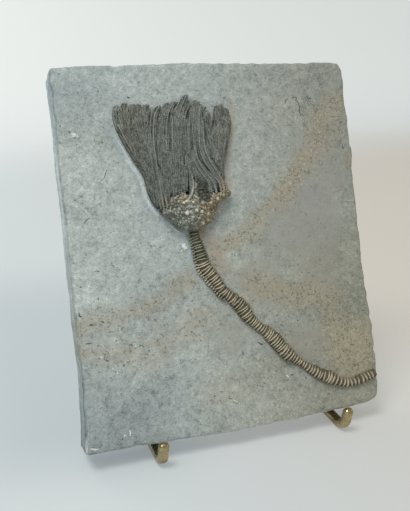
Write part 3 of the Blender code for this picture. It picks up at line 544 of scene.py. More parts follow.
def plain_mesh(holder):
    """Mesh of an object as its modifiers leave it. The object itself goes."""
    graph = bpy.context.evaluated_depsgraph_get()
    mesh = bpy.data.meshes.new_from_object(holder.evaluated_get(graph))
    holder.modifiers.clear()
    remove_object(holder)
    return mesh


def read_numbers(items, key):
    """One whole number of each loop or face."""
    found = np.empty(len(items), dtype=np.int64)
    items.foreach_get(key, found)
    return found


def read_rows(mesh, key="co"):
    """Places or normals of a mesh's points, as rows."""
    flat = np.empty(len(mesh.vertices) * 3)
    mesh.vertices.foreach_get(key, flat)
    return flat.reshape(-1, 3)


def move_points(mesh, places):
    mesh.vertices.foreach_set("co", np.asarray(places, dtype=np.float32).ravel())


def read_values(mesh, key="rim"):
    """Values of a mesh's points under a key, or zeros."""
    values = np.zeros(len(mesh.vertices), dtype=np.float32)
    store = mesh.attributes.get(key)
    if store is not None and len(store.data) == len(values):
        store.data.foreach_get("value", values)
    return values


def store_values(mesh, values, key="rim"):
    store = mesh.attributes.get(key) or mesh.attributes.new(key, "FLOAT", "POINT")
    store.data.foreach_set("value", np.asarray(values, dtype=np.float32))


def make_mesh(name, points, faces, rim=None):
    """Mesh with its faces turned outward, and the brightness of its points kept as "rim"."""
    mesh = bpy.data.meshes.new(name)
    mesh.from_pydata(np.asarray(points, dtype=float).tolist(), [], faces)
    mesh.update()
    store_values(mesh, np.zeros(len(points)) if rim is None else rim)
    return mesh


def merged_mesh(name, meshes, keys=("rim",)):
    """One mesh that holds all the given ones, with their values under the keys."""
    faces = []
    count = 0
    for mesh in meshes:
        loop = (read_numbers(mesh.loops, "vertex_index") + count).tolist()
        starts = read_numbers(mesh.polygons, "loop_start")
        ends = starts + read_numbers(mesh.polygons, "loop_total")
        faces += [tuple(loop[start:end]) for start, end in zip(starts.tolist(), ends.tolist())]
        count += len(mesh.vertices)
    made = make_mesh(name, np.concatenate([read_rows(mesh) for mesh in meshes]), faces)
    for key in keys:
        store_values(made, np.concatenate([read_values(mesh, key) for mesh in meshes]), key)
    return made


def make_piece(name, mesh, material, nodes, to_world=slab_to_world):
    """Object at the origin whose mesh is in its place, standing for the named solids."""
    move_points(mesh, to_world(read_rows(mesh)))
    mesh.materials.clear()
    mesh.materials.append(material)
    mesh.polygons.foreach_set("material_index", np.zeros(len(mesh.polygons), dtype=np.int32))
    mesh.shade_smooth()
    mesh.update()
    mesh.validate()
    piece = add_object(name, mesh)
    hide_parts(*nodes)
    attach(piece, "root")
    return piece


# ---------------------------------------------------------------- node graphs

class NodeGraph:
    """A node tree with one method that makes a node from its type, settings and sockets."""

    def __init__(self, tree):
        self.tree = tree

    def node(self, kind, settings=None, values=None):
        made = self.tree.nodes.new(kind)
        for key, value in (settings or {}).items():
            if key == "stops":
                ramp = made.color_ramp
                while len(ramp.elements) < len(value):
                    ramp.elements.new(0.5)
                for element, (place, colour) in zip(ramp.elements, value):
                    element.position = place
                    element.color = (*colour, 1.0)
            else:
                setattr(made, key, value)
        self.fill(made, values or {})
        return made

    def fill(self, node, values):
        """Links or sets sockets of a node."""
        for key, value in values.items():
            if isinstance(value, Wire):
                self.tree.links.new(value.socket, node.inputs[key])
            else:
                node.inputs[key].default_value = value

    def wire(self, kind, settings=None, values=None, output=0):
        return Wire(self, self.node(kind, settings, values).outputs[output])


class Wire:
    """One output socket. Arithmetic on it adds Math nodes."""

    def __init__(self, graph, socket):
        self.graph = graph
        self.socket = socket

    def math(self, operation, other):
        return self.graph.wire("ShaderNodeMath", {"operation": operation}, {0: self, 1: other})

    def __add__(self, other):
        return self.math("ADD", other)

    def __mul__(self, other):
        return self.math("MULTIPLY", other)

    def __sub__(self, other):
        return self.math("SUBTRACT", other)

    def __rsub__(self, other):
        return (self * -1.0) + other

    __radd__ = __add__
    __rmul__ = __mul__

    def above(self, low, high):
        """0 below low, 1 above high and a smooth course between."""
        settings = {"interpolation_type": "SMOOTHSTEP"}
        values = {"Value": self, "From Min": low, "From Max": high}
        return self.graph.wire("ShaderNodeMapRange", settings, values)

    def between(self, first, second, mode="MIX"):
        """The first colour where this is 0, and the second laid on it where this is 1."""
        first, second = (c if isinstance(c, Wire) else (*c, 1.0) for c in (first, second))
        settings = {"data_type": "RGBA", "blend_type": mode}
        return self.graph.wire("ShaderNodeMix", settings, {0: self, 6: first, 7: second}, output=2)

    def parts(self):
        """The three numbers of a vector."""
        split = self.graph.node("ShaderNodeSeparateXYZ", None, {"Vector": self})
        return [Wire(self.graph, socket) for socket in split.outputs]

    def noise(self, scale, detail, rough, seed):
        """Cloudy noise at these places."""
        values = {"Vector": self, "W": seed, "Scale": scale, "Detail": detail, "Roughness": rough}
        return self.graph.wire("ShaderNodeTexNoise", {"noise_dimensions": "4D"}, values)


# ---------------------------------------------------------------- finishes

def new_finish(name):
    """Material, its graph and its shader."""
    material = bpy.data.materials.new(name)
    material.use_nodes = True
    return material, NodeGraph(material.node_tree), material.node_tree.nodes["Principled BSDF"]


def slab_places(graph):
    """x, v and n in millimetres over the surface."""
    return graph.wire("ShaderNodeMapping", {"vector_type": "TEXTURE"}, {
        "Vector": graph.wire("ShaderNodeTexCoord", output="Object"),
        "Location": (FACE_X * MM, FRONT_EDGE_Y * MM, FRONT_EDGE_Z * MM),
        "Rotation": (0.5 * math.pi - SLAB_LEAN, 0.0, 0.0),
        "Scale": (MM, MM, MM),
    })


def layered(base, layers):
    """The base colour under layers, each with its share, colour and way of going on."""
    for share, colour, mode in layers:
        base = share.between(base, colour, mode)
    return base


def attribute(graph, name):
    return graph.wire("ShaderNodeAttribute", {"attribute_name": name}, output="Fac")


def bump(graph, height, depth):
    return graph.wire("ShaderNodeBump", None, {"Height": height, "Distance": depth})


def stone_finish():
    """Mottled siltstone with bedded walls, painted shade along its edges, a chipped bottom edge, ochre
    stains and scraped rims.
    """
    material, graph, shader = new_finish("siltstone_face")
    places = slab_places(graph)
    x, v, n = places.parts()
    broad = places.noise(0.05, 2.0, 0.5, 3.0) - 0.5
    middle = places.noise(0.26, 3.0, 0.6, 7.0) - 0.5
    mottle = places.noise(0.5, 2.0, 0.5, 17.0) - 0.5
    fine = places.noise(0.85, 3.0, 0.8, 11.0) - 0.5
    grain = places.noise(2.2, 2.0, 0.7, 5.0) - 0.5
    smooth = attribute(graph, "smooth")
    calm = 1.0 - smooth * 0.65
    tone = broad * 0.5 + middle * 0.5 + (mottle * 0.5 + fine * 0.95 + grain * 0.75) * calm + 0.5
    grey = graph.wire("ShaderNodeValToRGB", {"stops": STONE_GREYS}, {"Fac": tone})

    # Broad patches of the face, with wandering edges
    across = x + middle * PATCH_WANDER
    up = v + middle * PATCH_WANDER
    lower_left = (34.0 - up).above(0.0, 26.0) * (-12.0 - across).above(0.0, 28.0)
    upper_left = (up - 114.0).above(0.0, 12.0) * (-18.0 - across).above(0.0, 30.0)
    left = up.above(40.0, 65.0) * (114.0 - up).above(0.0, 14.0) * (-25.0 - across).above(0.0, 20.0)
    lower_right = across.above(36.0, 46.0) * up.above(8.0, 16.0) * (38.0 - up).above(0.0, 8.0)
    grey = layered(grey, [
        # Darker and browner towards the right: partly the stone's own tone, partly painted shade
        ((x + broad * 40.0).above(-20.0, 52.0), (0.725, 0.685, 0.625), TINT),
        (smooth * 0.5, (0.290, 0.280, 0.258), PAINT),
        (lower_left, (0.76, 0.78, 0.80), TINT),
        (upper_left, (0.83, 0.855, 0.875), TINT),
        (left, (1.10, 1.085, 1.07), TINT),
        (lower_right, (1.16, 1.13, 1.02), TINT),
        (across.above(-22.0, 0.0) * (78.0 - up).above(0.0, 20.0), (0.985, 0.965, 0.915), TINT),
        (across.above(4.0, 24.0) * (16.0 - up).above(0.0, 8.0), (1.07, 1.03, 1.02), TINT),
    ])

    # Walls, which show the beds, painted shade along the edge of the face and on its arris, and chips
    # along its bottom edge
    depth = n * -1.0
    wall = depth.above(0.7, 1.6)
    beds = graph.wire("ShaderNodeMapping", None, {"Vector": places, "Scale": BED_STRETCH})
    beds = beds.noise(0.9, 3.0, 0.7, 52.0) - 0.5
    bed_colour = (beds * wall * 2.6 + 0.5).above(0.0, 1.0).between(*BED_TINTS)
    arris = depth.above(0.25, 0.9) * (2.2 - depth).above(0.0, 0.9)
    edge = attribute(graph, "edge")
    # Painted shade along the edges of the face, above its bottom stretch
    edge_shade = (edge + fine * 0.6).above(0.1, 0.7) * v.above(2.0, 8.0)
    chipped = (edge + fine * 1.2).above(0.15, 0.6) * (6.0 - v).above(0.0, 5.0)
    grey = layered(grey, [
        (wall, bed_colour, TINT),
        (wall * v.above(50.0, 90.0), (1.13, 1.12, 1.16), TINT),
        (wall * (60.0 - v).above(0.0, 40.0), (0.82, 0.82, 0.82), TINT),
        # Faint painted shade on the arris
        (arris * 0.15, (0.55, 0.57, 0.57), TINT),
        # Painted shade along the edges of the face
        (edge_shade * 0.42, (0.52, 0.54, 0.53), TINT),
        (chipped * 0.6, (0.62, 0.61, 0.57), PAINT),
    ])

    # Stains and specks, the scraped rims, white chips and the marks in the face
    ochre = attribute(graph, "ochre")
    mark = attribute(graph, "rim")
    patch = places.noise(0.33, 2.0, 0.6, 23.0)
    stain = (ochre * (patch * 2.1 + fine * 1.6 - 0.12)).above(0.2, 0.95)
    dark = (places.noise(0.95, 2.0, 0.7, 31.0) + ochre * 0.085 + patch * 0.12).above(0.68, 0.80)
    cream = (places.noise(0.9, 2.0, 0.7, 41.0) + ochre * 0.09).above(0.655, 0.75)
    scraped = attribute(graph, "prepared") * (patch * 1.2 + 0.25)
    stained = layered(grey, [
        (ochre * 0.9, (0.96, 0.90, 0.83), TINT),
        (stain * 0.5, (0.345, 0.300, 0.222), PAINT),
        (dark * 0.6, (0.135, 0.128, 0.105), PAINT),
        (cream * 0.55, (0.53, 0.51, 0.39), PAINT),
        (scraped * 0.8, (0.40, 0.455, 0.465), PAINT),
        # Pale line at the outer edge of the scraped band: partly the scraped stone's colour, partly a
        # painted highlight
        ((attribute(graph, "rim_line") + fine * 0.7).above(0.45, 0.8) * 0.7, (0.60, 0.65, 0.65), PAINT),
        (attribute(graph, "tan"), (0.36, 0.315, 0.25), PAINT),
        ((attribute(graph, "chip") + fine * 2.0).above(0.4, 0.7), (0.74, 0.76, 0.73), PAINT),
        (mark.above(0.2, 0.5) * 0.85, (0.64, 0.675, 0.665), PAINT),
        ((mark * -1.0).above(0.2, 0.5) * 0.85, (0.085, 0.085, 0.070), PAINT),
    ])
    height = (grain * 0.5 + fine * 1.1) * calm + middle * 0.8 - dark * 0.5
    graph.fill(shader, {"Base Color": stained, "Roughness": 0.93 - middle * 0.2,
                        "Specular IOR Level": 0.25, "Normal": bump(graph, height, STONE_BUMP)})
    return material


def fossil_finish(name, dark, light, gain, tints, flecks):
    """Calcite of the fossil: painted shade in its grooves and painted light on its crests, with its own
    patchy tone, and tinted in parts.
    """
    material, graph, shader = new_finish(name)
    places = slab_places(graph)
    x, v, _ = places.parts()
    middle = places.noise(0.4, 3.0, 0.6, 2.0) - 0.5
    fine = places.noise(1.3, 3.0, 0.7, 9.0) - 0.5
    # The points' brightness is painted light on crests and painted shade in grooves, mixed with the
    # calcite's own tone
    tone = (attribute(graph, "rim") * gain + middle * 0.8 + fine * 1.3).above(0.0, 1.1)
    grey = layered(tone.between(dark, light), [
        ((tint_share(x, v) + middle * 1.2).above(0.1, 0.9), tint, TINT) for tint, tint_share in tints])
    pale = places.noise(0.9, 1.0, 0.5, 14.0).above(0.70, 0.76)
    grey = (pale * flecks).between(grey, FLECK_COLOUR)
    height = fine * 1.4 + middle * 0.5
    graph.fill(shader, {"Base Color": grey, "Roughness": 0.72 - fine * 0.3,
                        "Specular IOR Level": 0.35, "Normal": bump(graph, height, CALCITE_BUMP)})
    return material


def brass_finish():
    """Lacquered brass, clouded with brown tarnish."""
    material, graph, shader = new_finish("brass_bar")
    places = slab_places(graph)
    fine = places.noise(2.2, 3.0, 0.6, 8.0)
    tarnish = (places.noise(0.25, 3.0, 0.6, 4.0) * 0.7 + fine * 0.4).above(0.45, 0.7)
    graph.fill(shader, {"Base Color": tarnish.between((0.50, 0.41, 0.22), (0.23, 0.185, 0.095)),
                        "Roughness": tarnish * 0.2 + fine * 0.1 + 0.17, "Metallic": 1.0,
                        "Normal": bump(graph, fine, BRASS_BUMP)})
    return material


# ---------------------------------------------------------------- node trees for repeats

def new_geometry_tree(name, sockets):
    """Graph of a tree with named inputs, and a wire from each of them."""
    tree = bpy.data.node_groups.new(name, "GeometryNodeTree")
    for label, kind in {"Geometry": "Geometry", **sockets}.items():
        tree.interface.new_socket(label, in_out="INPUT", socket_type=f"NodeSocket{kind}")
    tree.interface.new_socket("Geometry", in_out="OUTPUT", socket_type="NodeSocketGeometry")
    graph = NodeGraph(tree)
    start = graph.node("NodeGroupInput")
    return graph, {socket.name: Wire(graph, socket) for socket in start.outputs if socket.name}


def finish_tree(graph, placed, material):
    """Ends a tree: its instances made real, and its material set."""
    real = graph.wire("GeometryNodeRealizeInstances", None, {"Geometry": placed})
    finished = graph.wire("GeometryNodeSetMaterial", None, {"Geometry": real, "Material": material})
    graph.node("NodeGroupOutput", None, {"Geometry": finished})
    return graph.tree


def random_between(graph, low, high, seed):
    """A random number, or a random vector where low is one."""
    vector = isinstance(low, tuple)
    kind, socket, output = ("FLOAT_VECTOR", 0, 0) if vector else ("FLOAT", 2, 1)
    values = {socket: low, socket + 1: high, "Seed": seed}
    return graph.wire("FunctionNodeRandomValue", {"data_type": kind}, values, output)


def scaled(graph, vector, scale):
    return graph.wire("ShaderNodeVectorMath", {"operation": "SCALE"}, {0: vector, "Scale": scale})


def set_on_points(graph, points, holder, turn, size):
    """The holder's shape on every point."""
    shape = graph.wire("GeometryNodeObjectInfo", {"transform_space": "ORIGINAL"},
                       {"Object": holder}, output="Geometry")
    return graph.wire("GeometryNodeInstanceOnPoints", None, {
        "Points": points, "Instance": shape, "Rotation": turn, "Scale": size})


def with_tone_and_light(graph, geometry, value, domain):
    """Keeps a brightness on the geometry."""
    settings = {"data_type": "FLOAT", "domain": domain}
    values = {"Geometry": geometry, "Name": "rim", "Value": value}
    return graph.wire("GeometryNodeStoreNamedAttribute", settings, values)


def plates_tree(name):
    """Sets a plate at every pitch along each curve, square to it, sized by its radius."""
    graph, given = new_geometry_tree(name, {
        "Plate": "Object", "Pitch": "Float", "Flatness": "Float", "Length": "Float",
        "Tilt": "Float", "Unevenness": "Float", "Material": "Material", "Seed": "Int"})
    points = graph.wire("GeometryNodeResampleCurve", {"mode": "LENGTH"},
                        {"Curve": given["Geometry"], "Length": given["Pitch"]})
    tangent = graph.wire("GeometryNodeInputTangent")
    turn = graph.wire("FunctionNodeAlignRotationToVector", {"axis": "Z"}, {"Vector": tangent})
    turn = graph.wire("FunctionNodeAlignRotationToVector", {"axis": "Y", "pivot_axis": "Z"},
                      {"Rotation": turn, "Vector": (0.0, 0.0, 1.0)})
    lean = random_between(graph, (-1.0, -1.0, -1.0), (1.0, 1.0, 1.0), given["Seed"])
    lean = scaled(graph, lean, given["Tilt"])
    leaned = graph.wire("FunctionNodeEulerToRotation", None, {"Euler": lean})
    turn = graph.wire("FunctionNodeRotateRotation", {"rotation_space": "LOCAL"},
                      {"Rotation": turn, "Rotate By": leaned})
    uneven = given["Unevenness"]
    swell = random_between(graph, 1.0 - uneven, 1.0 + uneven, given["Seed"] + 7)
    wide = graph.wire("GeometryNodeInputRadius") * swell
    size = graph.wire("ShaderNodeCombineXYZ", None,
                      {"X": wide, "Y": wide * given["Flatness"], "Z": given["Length"]})
    placed = set_on_points(graph, points, given["Plate"], turn, size)
    return finish_tree(graph, placed, given["Material"])


def strands_tree(name):
    """Turns each curve into a round strand of the curve's own radius."""
    graph, given = new_geometry_tree(name, {"Sides": "Int", "Rim": "Float", "Material": "Material"})
    ring = graph.wire("GeometryNodeCurvePrimitiveCircle", None,
                      {"Resolution": given["Sides"], "Radius": 1.0})
    strand = graph.wire("GeometryNodeCurveToMesh", None, {
        "Curve": given["Geometry"], "Profile Curve": ring, "Fill Caps": True,
        "Scale": graph.wire("GeometryNodeInputRadius")})
    return finish_tree(graph, with_tone_and_light(graph, strand, given["Rim"], "POINT"), given["Material"])


def nodules_tree(name):
    """Scatters small rounded nodules over a mesh, each with its own size and brightness."""
    graph, given = new_geometry_tree(name, {
        "Nodule": "Object", "Spacing": "Float", "Size": "Float", "Material": "Material",
        "Seed": "Int"})
    seed = given["Seed"]
    points = graph.wire("GeometryNodeDistributePointsOnFaces", {"distribute_method": "POISSON"}, {
        "Mesh": given["Geometry"], "Distance Min": given["Spacing"], "Density Max": 4.0, "Seed": seed})
    turn = random_between(graph, (-0.5, -0.5, -3.1), (0.5, 0.5, 3.1), seed)
    swell = random_between(graph, (0.45, 0.45, 0.4), (1.4, 1.4, 1.15), seed + 1)
    placed = set_on_points(graph, points, given["Nodule"], turn, scaled(graph, swell, given["Size"]))
    marked = with_tone_and_light(graph, placed, random_between(graph, 0.0, 0.72, seed + 2), "INSTANCE")
    return finish_tree(graph, marked, given["Material"])


def grown_mesh(holder, tree, values):
    """Runs a tree on an object and gives the plain mesh that it makes."""
    modifier = holder.modifiers.new("growth", "NODES")
    modifier.node_group = tree
    for item in tree.interface.items_tree:
        if item.item_type == "SOCKET" and item.in_out == "INPUT" and item.name in values:
            modifier[item.identifier] = values[item.name]
    return plain_mesh(holder)


def curve_object(name, routes, radii):
    """Curve object with one open spline for each route."""
    curve = bpy.data.curves.new(name, "CURVE")
    curve.dimensions = "3D"
    for route, radius in zip(routes, radii):
        spline = curve.splines.new("POLY")
        spline.points.add(len(route) - 1)
        flat = np.ones((len(route), 4))
        flat[:, :3] = route
        spline.points.foreach_set("co", flat.ravel())
        spline.points.foreach_set("radius", np.asarray(radius, dtype=float))
    return add_object(name, curve)


# ---------------------------------------------------------------- slab

def slab_block():
    """Block between the layers of the slab, on an even grid."""
    outline, _ = smooth_route(SLAB_OUTLINE, OUTLINE_STEP, closed=True)
    ahead = np.roll(outline, -1, axis=0) - np.roll(outline, 1, axis=0)
    ahead /= np.linalg.norm(ahead, axis=1)[:, None]
    outward = np.stack([ahead[:, 1], -ahead[:, 0]], axis=1)
    rows = []
    for depth, inset in SLAB_LAYERS:
        square = (outward[:, :1] < -0.9) & (SQUARE_DEPTHS[0] < depth < SQUARE_DEPTHS[1])
        row = outline - outward * np.where(square, LEFT_INSET * inset, inset)
        rows.append(np.column_stack([row, np.full(len(row), depth)]))
    block = make_mesh("slab_block", np.concatenate(rows), loft_faces(len(rows), len(outline)))
    holder = add_object("slab_block", block)
    remesh = holder.modifiers.new("even_grid", "REMESH")
    remesh.mode = "VOXEL"
    remesh.voxel_size = SLAB_VOXEL
    return plain_mesh(holder)


def strongest(spots):
    """The greatest of the values that several spots give to each point."""
    return np.maximum.reduce([np.zeros(len(spots[0])), *spots])


def build_slab(material):
    mesh = slab_block()
    place = read_rows(mesh)
    normal = read_rows(mesh, "normal")
    x, v, n = place.T
    face = smooth_step(0.75, 0.97, normal[:, 2])
    rim_distance = distance_to_route(x, v, PREPARED_RIM)
    tan_distance = distance_to_route(x, v, TAN_RIM)
    line_distance = distance_to_route(x, v, RIM_LINE)
    edge_distance = distance_to_route(x, v, SLAB_OUTLINE + SLAB_OUTLINE[:1])
    groove = 0.4 * bell(rim_distance - 0.6, 1.3) + 0.3 * bell(tan_distance, 1.2)
    edge = bell(edge_distance, 1.3) * bell(n, 1.6)
    chips = edge * np.clip(lattice_noise(place, 3.3, 8) + 0.15, 0.0, 1.0) * 0.7
    chalk = strongest([bell(np.hypot(x - px, v - pv), radius) for (px, pv), radius in WHITE_CHIPS])
    relief = noise_sum(place, FACE_NOISE) - groove + 0.25 * bell(line_distance, 0.6) + 0.5 * chalk
    shift = face * relief + (1.0 - face) * noise_sum(place, WALL_NOISE) - chips
    place = place + normal * shift[:, None]
    place[:, 0] = np.clip(place[:, 0], SLAB_LEFT, SLAB_RIGHT)
    move_points(mesh, place)

    wander = 1.0 + 0.5 * lattice_noise(place, 7.0, 12)
    ochre = strongest([strength * bell(distance_to_route(x, v, route), half_width * wander)
                       for route, half_width, strength in STAINS])
    patchy = 0.35 * lattice_noise(place, 9.0, 13)
    smooth = strongest([
        strength * smooth_step(1.25, 0.6, np.hypot(x - px, v - pv) / radius + patchy)
        for (px, pv), radius, strength in SMOOTH])
    prepared = bell(rim_distance, 1.3) * smooth_step(-2.5, 0.5, 112.0 - v)
    tan_width = 1.8 + 0.8 * lattice_noise(place, 2.5, 14) + 0.4
    facts = {
        "ochre": ochre * (1.0 - prepared), "smooth": smooth, "prepared": prepared,
        "rim_line": bell(line_distance, 0.75), "chip": smooth_step(0.3, 0.6, chalk),
        "tan": 0.6 * bell(tan_distance, 0.9) + 0.72 * bell(distance_to_route(x, v, STEM_TAN), tan_width),
        "edge": smooth_step(-3.0, -0.5, n) * bell(edge_distance, 0.55),
    }
    for key, values in facts.items():
        store_values(mesh, values, key)
    front = place[face > 0.5]
    marks = [mark_mesh(DARK_MARKS, front, material, -1.0), mark_mesh(PALE_MARKS, front, material, 1.0)]
    mesh = merged_mesh("stone_slab", [mesh] + marks, ("rim", *facts))
    return make_piece("stone_slab", mesh, material, ["matrix_slab"])


def mark_mesh(marks, front, material, tone):
    """Thin strands sunk into the face, so that little more than their colour shows."""
    routes, radii = [], []
    for route, radius in marks:
        path, _ = smooth_route(route, MARK_STEP)
        flat = np.column_stack([path, np.zeros(len(path))])
        path = path + 0.16 * np.column_stack([lattice_noise(flat, 0.9, seed) for seed in (90, 91)])
        near = [int(np.argmin(np.hypot(front[:, 0] - x, front[:, 1] - v))) for x, v in path]
        taper = course(np.linspace(0.0, 1.0, len(path)), MARK_TAPER)
        size = radius * taper * (1.0 + 0.4 * lattice_noise(flat, 0.8, 92))
        routes.append(np.column_stack([path, front[near, 2] - 0.55 * size]))
        radii.append(size)
    return grown_mesh(curve_object("marks", routes, radii), strands_tree("face_marks"),
                      {"Sides": 7, "Rim": tone, "Material": material})


# ---------------------------------------------------------------- crown

def route_x(route, v):
    """x of an arm's middle line at v, with a smooth course between its given points."""
    xs, vs = np.array(route, dtype=float).T
    slopes = np.gradient(xs, vs)
    v = np.clip(np.asarray(v, dtype=float), vs[0], vs[-1])
    index = np.clip(np.searchsorted(vs, v, side="right") - 1, 0, len(vs) - 2)
    width = vs[index + 1] - vs[index]
    t = (v - vs[index]) / width
    square = t * t
    cube = square * t
    return ((2 * cube - 3 * square + 1) * xs[index] + (cube - 2 * square + t) * width * slopes[index]
            + (3 * square - 2 * cube) * xs[index + 1] + (cube - square) * width * slopes[index + 1])


def neighbour_x(index, step, v):
    """Middle line of the nearest arm on one side that is there at each v, or not a number."""
    found = np.full(len(v), np.nan)
    other = index + step
    while 0 <= other < len(ARM_ROUTES):
        route = ARM_ROUTES[other]
        open_here = np.isnan(found) & (v >= route[0][1] - FORK_ROOM) & (v <= route[-1][1] + 0.6)
        found = np.where(open_here, route_x(route, v), found)
        other += step
    return found


def arm_edges(index, v):
    """Left edge, middle line, right edge and whether each edge is free, at each v."""
    middle = route_x(ARM_ROUTES[index], v)
    half = NARROW_ARM_HALF_WIDTH if index == NARROW_ARM else ARM_HALF_WIDTH
    outer = course(v, OUTER_HALF_WIDTHS)
    edges = []
    for step in (-1, 1):
        other = neighbour_x(index, step, v)
        gap = index - (step < 0)
        most = course(v, GAP_HALF_WIDTHS.get(gap, [(0.0, half)]))
        if gap not in CLOSED_GAPS:
            most = most * course(ARM_ROUTES[index][-1][1] - v, TIP_NARROWING)
        room = 0.5 * step * (other - middle)
        reach = np.where(np.isnan(other), outer, np.minimum(most, room))
        beside = index + step
        tip = ARM_ROUTES[beside][-1][1] - 0.8 if 0 <= beside < len(ARM_ROUTES) else -1.0
        edges.append((middle + step * reach, np.isnan(other) | (room > most + 0.1) | (v > tip)))
    return edges[0][0], middle, edges[1][0], edges[0][1], edges[1][1]


def crown_relief(x, v, power=0.5):
    """Height of the crown's rounded back at x, v."""
    left = route_x(ARM_ROUTES[0], v) - 1.0
    right = route_x(ARM_ROUTES[-1], v) + 1.0
    share = np.clip((x - left) / (right - left), 0.0, 1.0)
    rise = (4.0 * share * (1.0 - share)) ** power * course(v, CROWN_FADE)
    return CROWN_EDGE_RELIEF + (CROWN_MIDDLE_RELIEF - CROWN_EDGE_RELIEF) * rise


def settled_x(x, v):
    """x of a crest of the crown that is drawn at x, v."""
    return x - SIGHT_SLOPE * crown_relief(x, v, 1.0)


def crown_to_world(points):
    placed = points.copy()
    placed[:, 0] = settled_x(points[:, 0], points[:, 1])
    return slab_to_world(placed)


def ridge_strength(index, v):
    return course(v, RIDGE_STRENGTHS[index])


def bed_height(x, v, middle, strength):
    """Height of the bed that the pinnules of an arm lie on, and how near it is to a groove."""
    across = np.abs(x - middle)
    height = crown_relief(x, v) - 0.5 - 0.3 * strength * np.clip(across / ARM_HALF_WIDTH, 0.0, 1.0) ** 2
    height = height + 0.12 * strength * bell(across, 0.35)
    height = height - 0.34 * strength * bell(across - 0.62, 0.22)
    deep = np.zeros(np.shape(x))
    for route in CROWN_GROOVES:
        deep = np.maximum(deep, bell(distance_to_route(x, v, route), GROOVE_WIDTH))
    return height - GROOVE_DEPTH * deep, deep


def tip_shape(v, tip):
    """1 along an arm, and falling in a round over its last stretch."""
    to_tip = np.clip((tip - v) / TIP_LENGTH, 0.0, 1.0)
    return 0.3 + 0.7 * np.sqrt(np.clip(1.0 - (1.0 - to_tip) ** 2, 0.0, 1.0))


def lowered(height, narrow):
    return height * (0.35 + 0.65 * narrow)


def arm_bed(index):
    """Closed skin under an arm's plates and pinnules."""
    route = ARM_ROUTES[index]
    tip = route[-1][1]
    v = np.concatenate([np.arange(route[0][1] - 0.3, tip - 1.2, BED_STEP),
                        np.linspace(tip - 1.2, tip, 9)])
    left, middle, right, free_left, free_right = arm_edges(index, v)
    narrow = tip_shape(v, tip)
    left = middle + (left - middle) * narrow
    right = middle + (right - middle) * narrow
    shares = np.linspace(0.0, 1.0, BED_COLUMNS)
    x = left[:, None] + (right - left)[:, None] * shares[None, :]
    vv = np.repeat(v[:, None], len(shares), axis=1)
    height, deep = bed_height(x, vv, middle[:, None], ridge_strength(index, v)[:, None])
    for free, edge in ((free_left, left), (free_right, right)):
        gap = np.clip(np.abs(x - edge[:, None]) / 1.1, 0.0, 1.0)
        curve = 0.25 + 0.75 * np.sqrt(1.0 - (1.0 - gap) ** 2)
        height = np.where(free[:, None], height * curve, height)
    height = lowered(height, narrow[:, None])
    flat = np.column_stack([x.ravel(), vv.ravel(), np.zeros(x.size)])
    streaks = lattice_noise(flat * (1.0, 0.35, 1.0), 0.45, 40 + index).reshape(x.shape)
    grit = lattice_noise(flat, 0.55, 80).reshape(x.shape)
    lumps = lattice_noise(flat, 2.2, 81).reshape(x.shape)
    height = np.maximum(height + 0.10 * streaks + 0.14 * grit + 0.16 * lumps, 0.25)
    # The bed's own streaky, gritty tone, with painted shade in the deep grooves
    rim = np.clip(0.42 + 0.2 * streaks + 0.3 * grit - 0.6 * deep, 0.0, 1.0)
    under = [np.stack([edge, v, np.full(len(v), UNDERSIDE)], axis=1)[:, None, :]
             for edge in (left, right)]
    section = np.concatenate([under[0], np.stack([x, vv, height], axis=2), under[1]], axis=1)
    rims = np.pad(rim, ((0, 0), (1, 1)))
    faces = [tuple(reversed(face)) for face in loft_faces(len(v), section.shape[1])]
    return make_mesh(f"bed_{index}", section.reshape(-1, 3), faces, rims.ravel())


def arm_ridge(index):
    """Route and half widths of the row of plates along the middle of an arm."""
    route = ARM_ROUTES[index]
    tip = route[-1][1]
    v = np.arange(route[0][1] - 0.4, tip - 0.25, 0.3)
    middle = route_x(route, v)
    strength = ridge_strength(index, v)
    height = lowered(bed_height(middle, v, middle, strength)[0], tip_shape(v, tip))
    low = smooth_step(95.0, 87.0, v)
    radius = (0.24 + 0.13 * strength + 0.1 * low) * (0.55 + 0.45 * tip_shape(v, tip))
    return np.column_stack([middle, v, height - 0.14 + 0.2 * strength + 0.08 * low]), radius


def side_lines(index, random):
    """Routes and half widths of the thin lines that follow the ridge on both sides."""
    route = ARM_ROUTES[index]
    tip = route[-1][1]
    lines = []
    for side in (-1.0, 1.0):
        v = np.arange(route[0][1] + random.uniform(0.5, 3.0), tip - 1.0, 0.5)
        left, middle, right, _, _ = arm_edges(index, v)
        edge = right if side > 0 else left
        narrow = tip_shape(v, tip)
        places = np.column_stack([v, np.zeros(len(v)), np.full(len(v), index + side)])
        share = 0.72 + 0.12 * lattice_noise(places, 3.0, 17)
        x = middle + (edge - middle) * share * narrow
        strength = ridge_strength(index, v)
        height = lowered(bed_height(x, v, middle, strength)[0], narrow)
        height = np.maximum(height - 0.06 + 0.16 * strength, LOWEST_STRAND)
        lines.append((np.column_stack([x, v, height]), 0.13 + 0.1 * strength))
    return lines


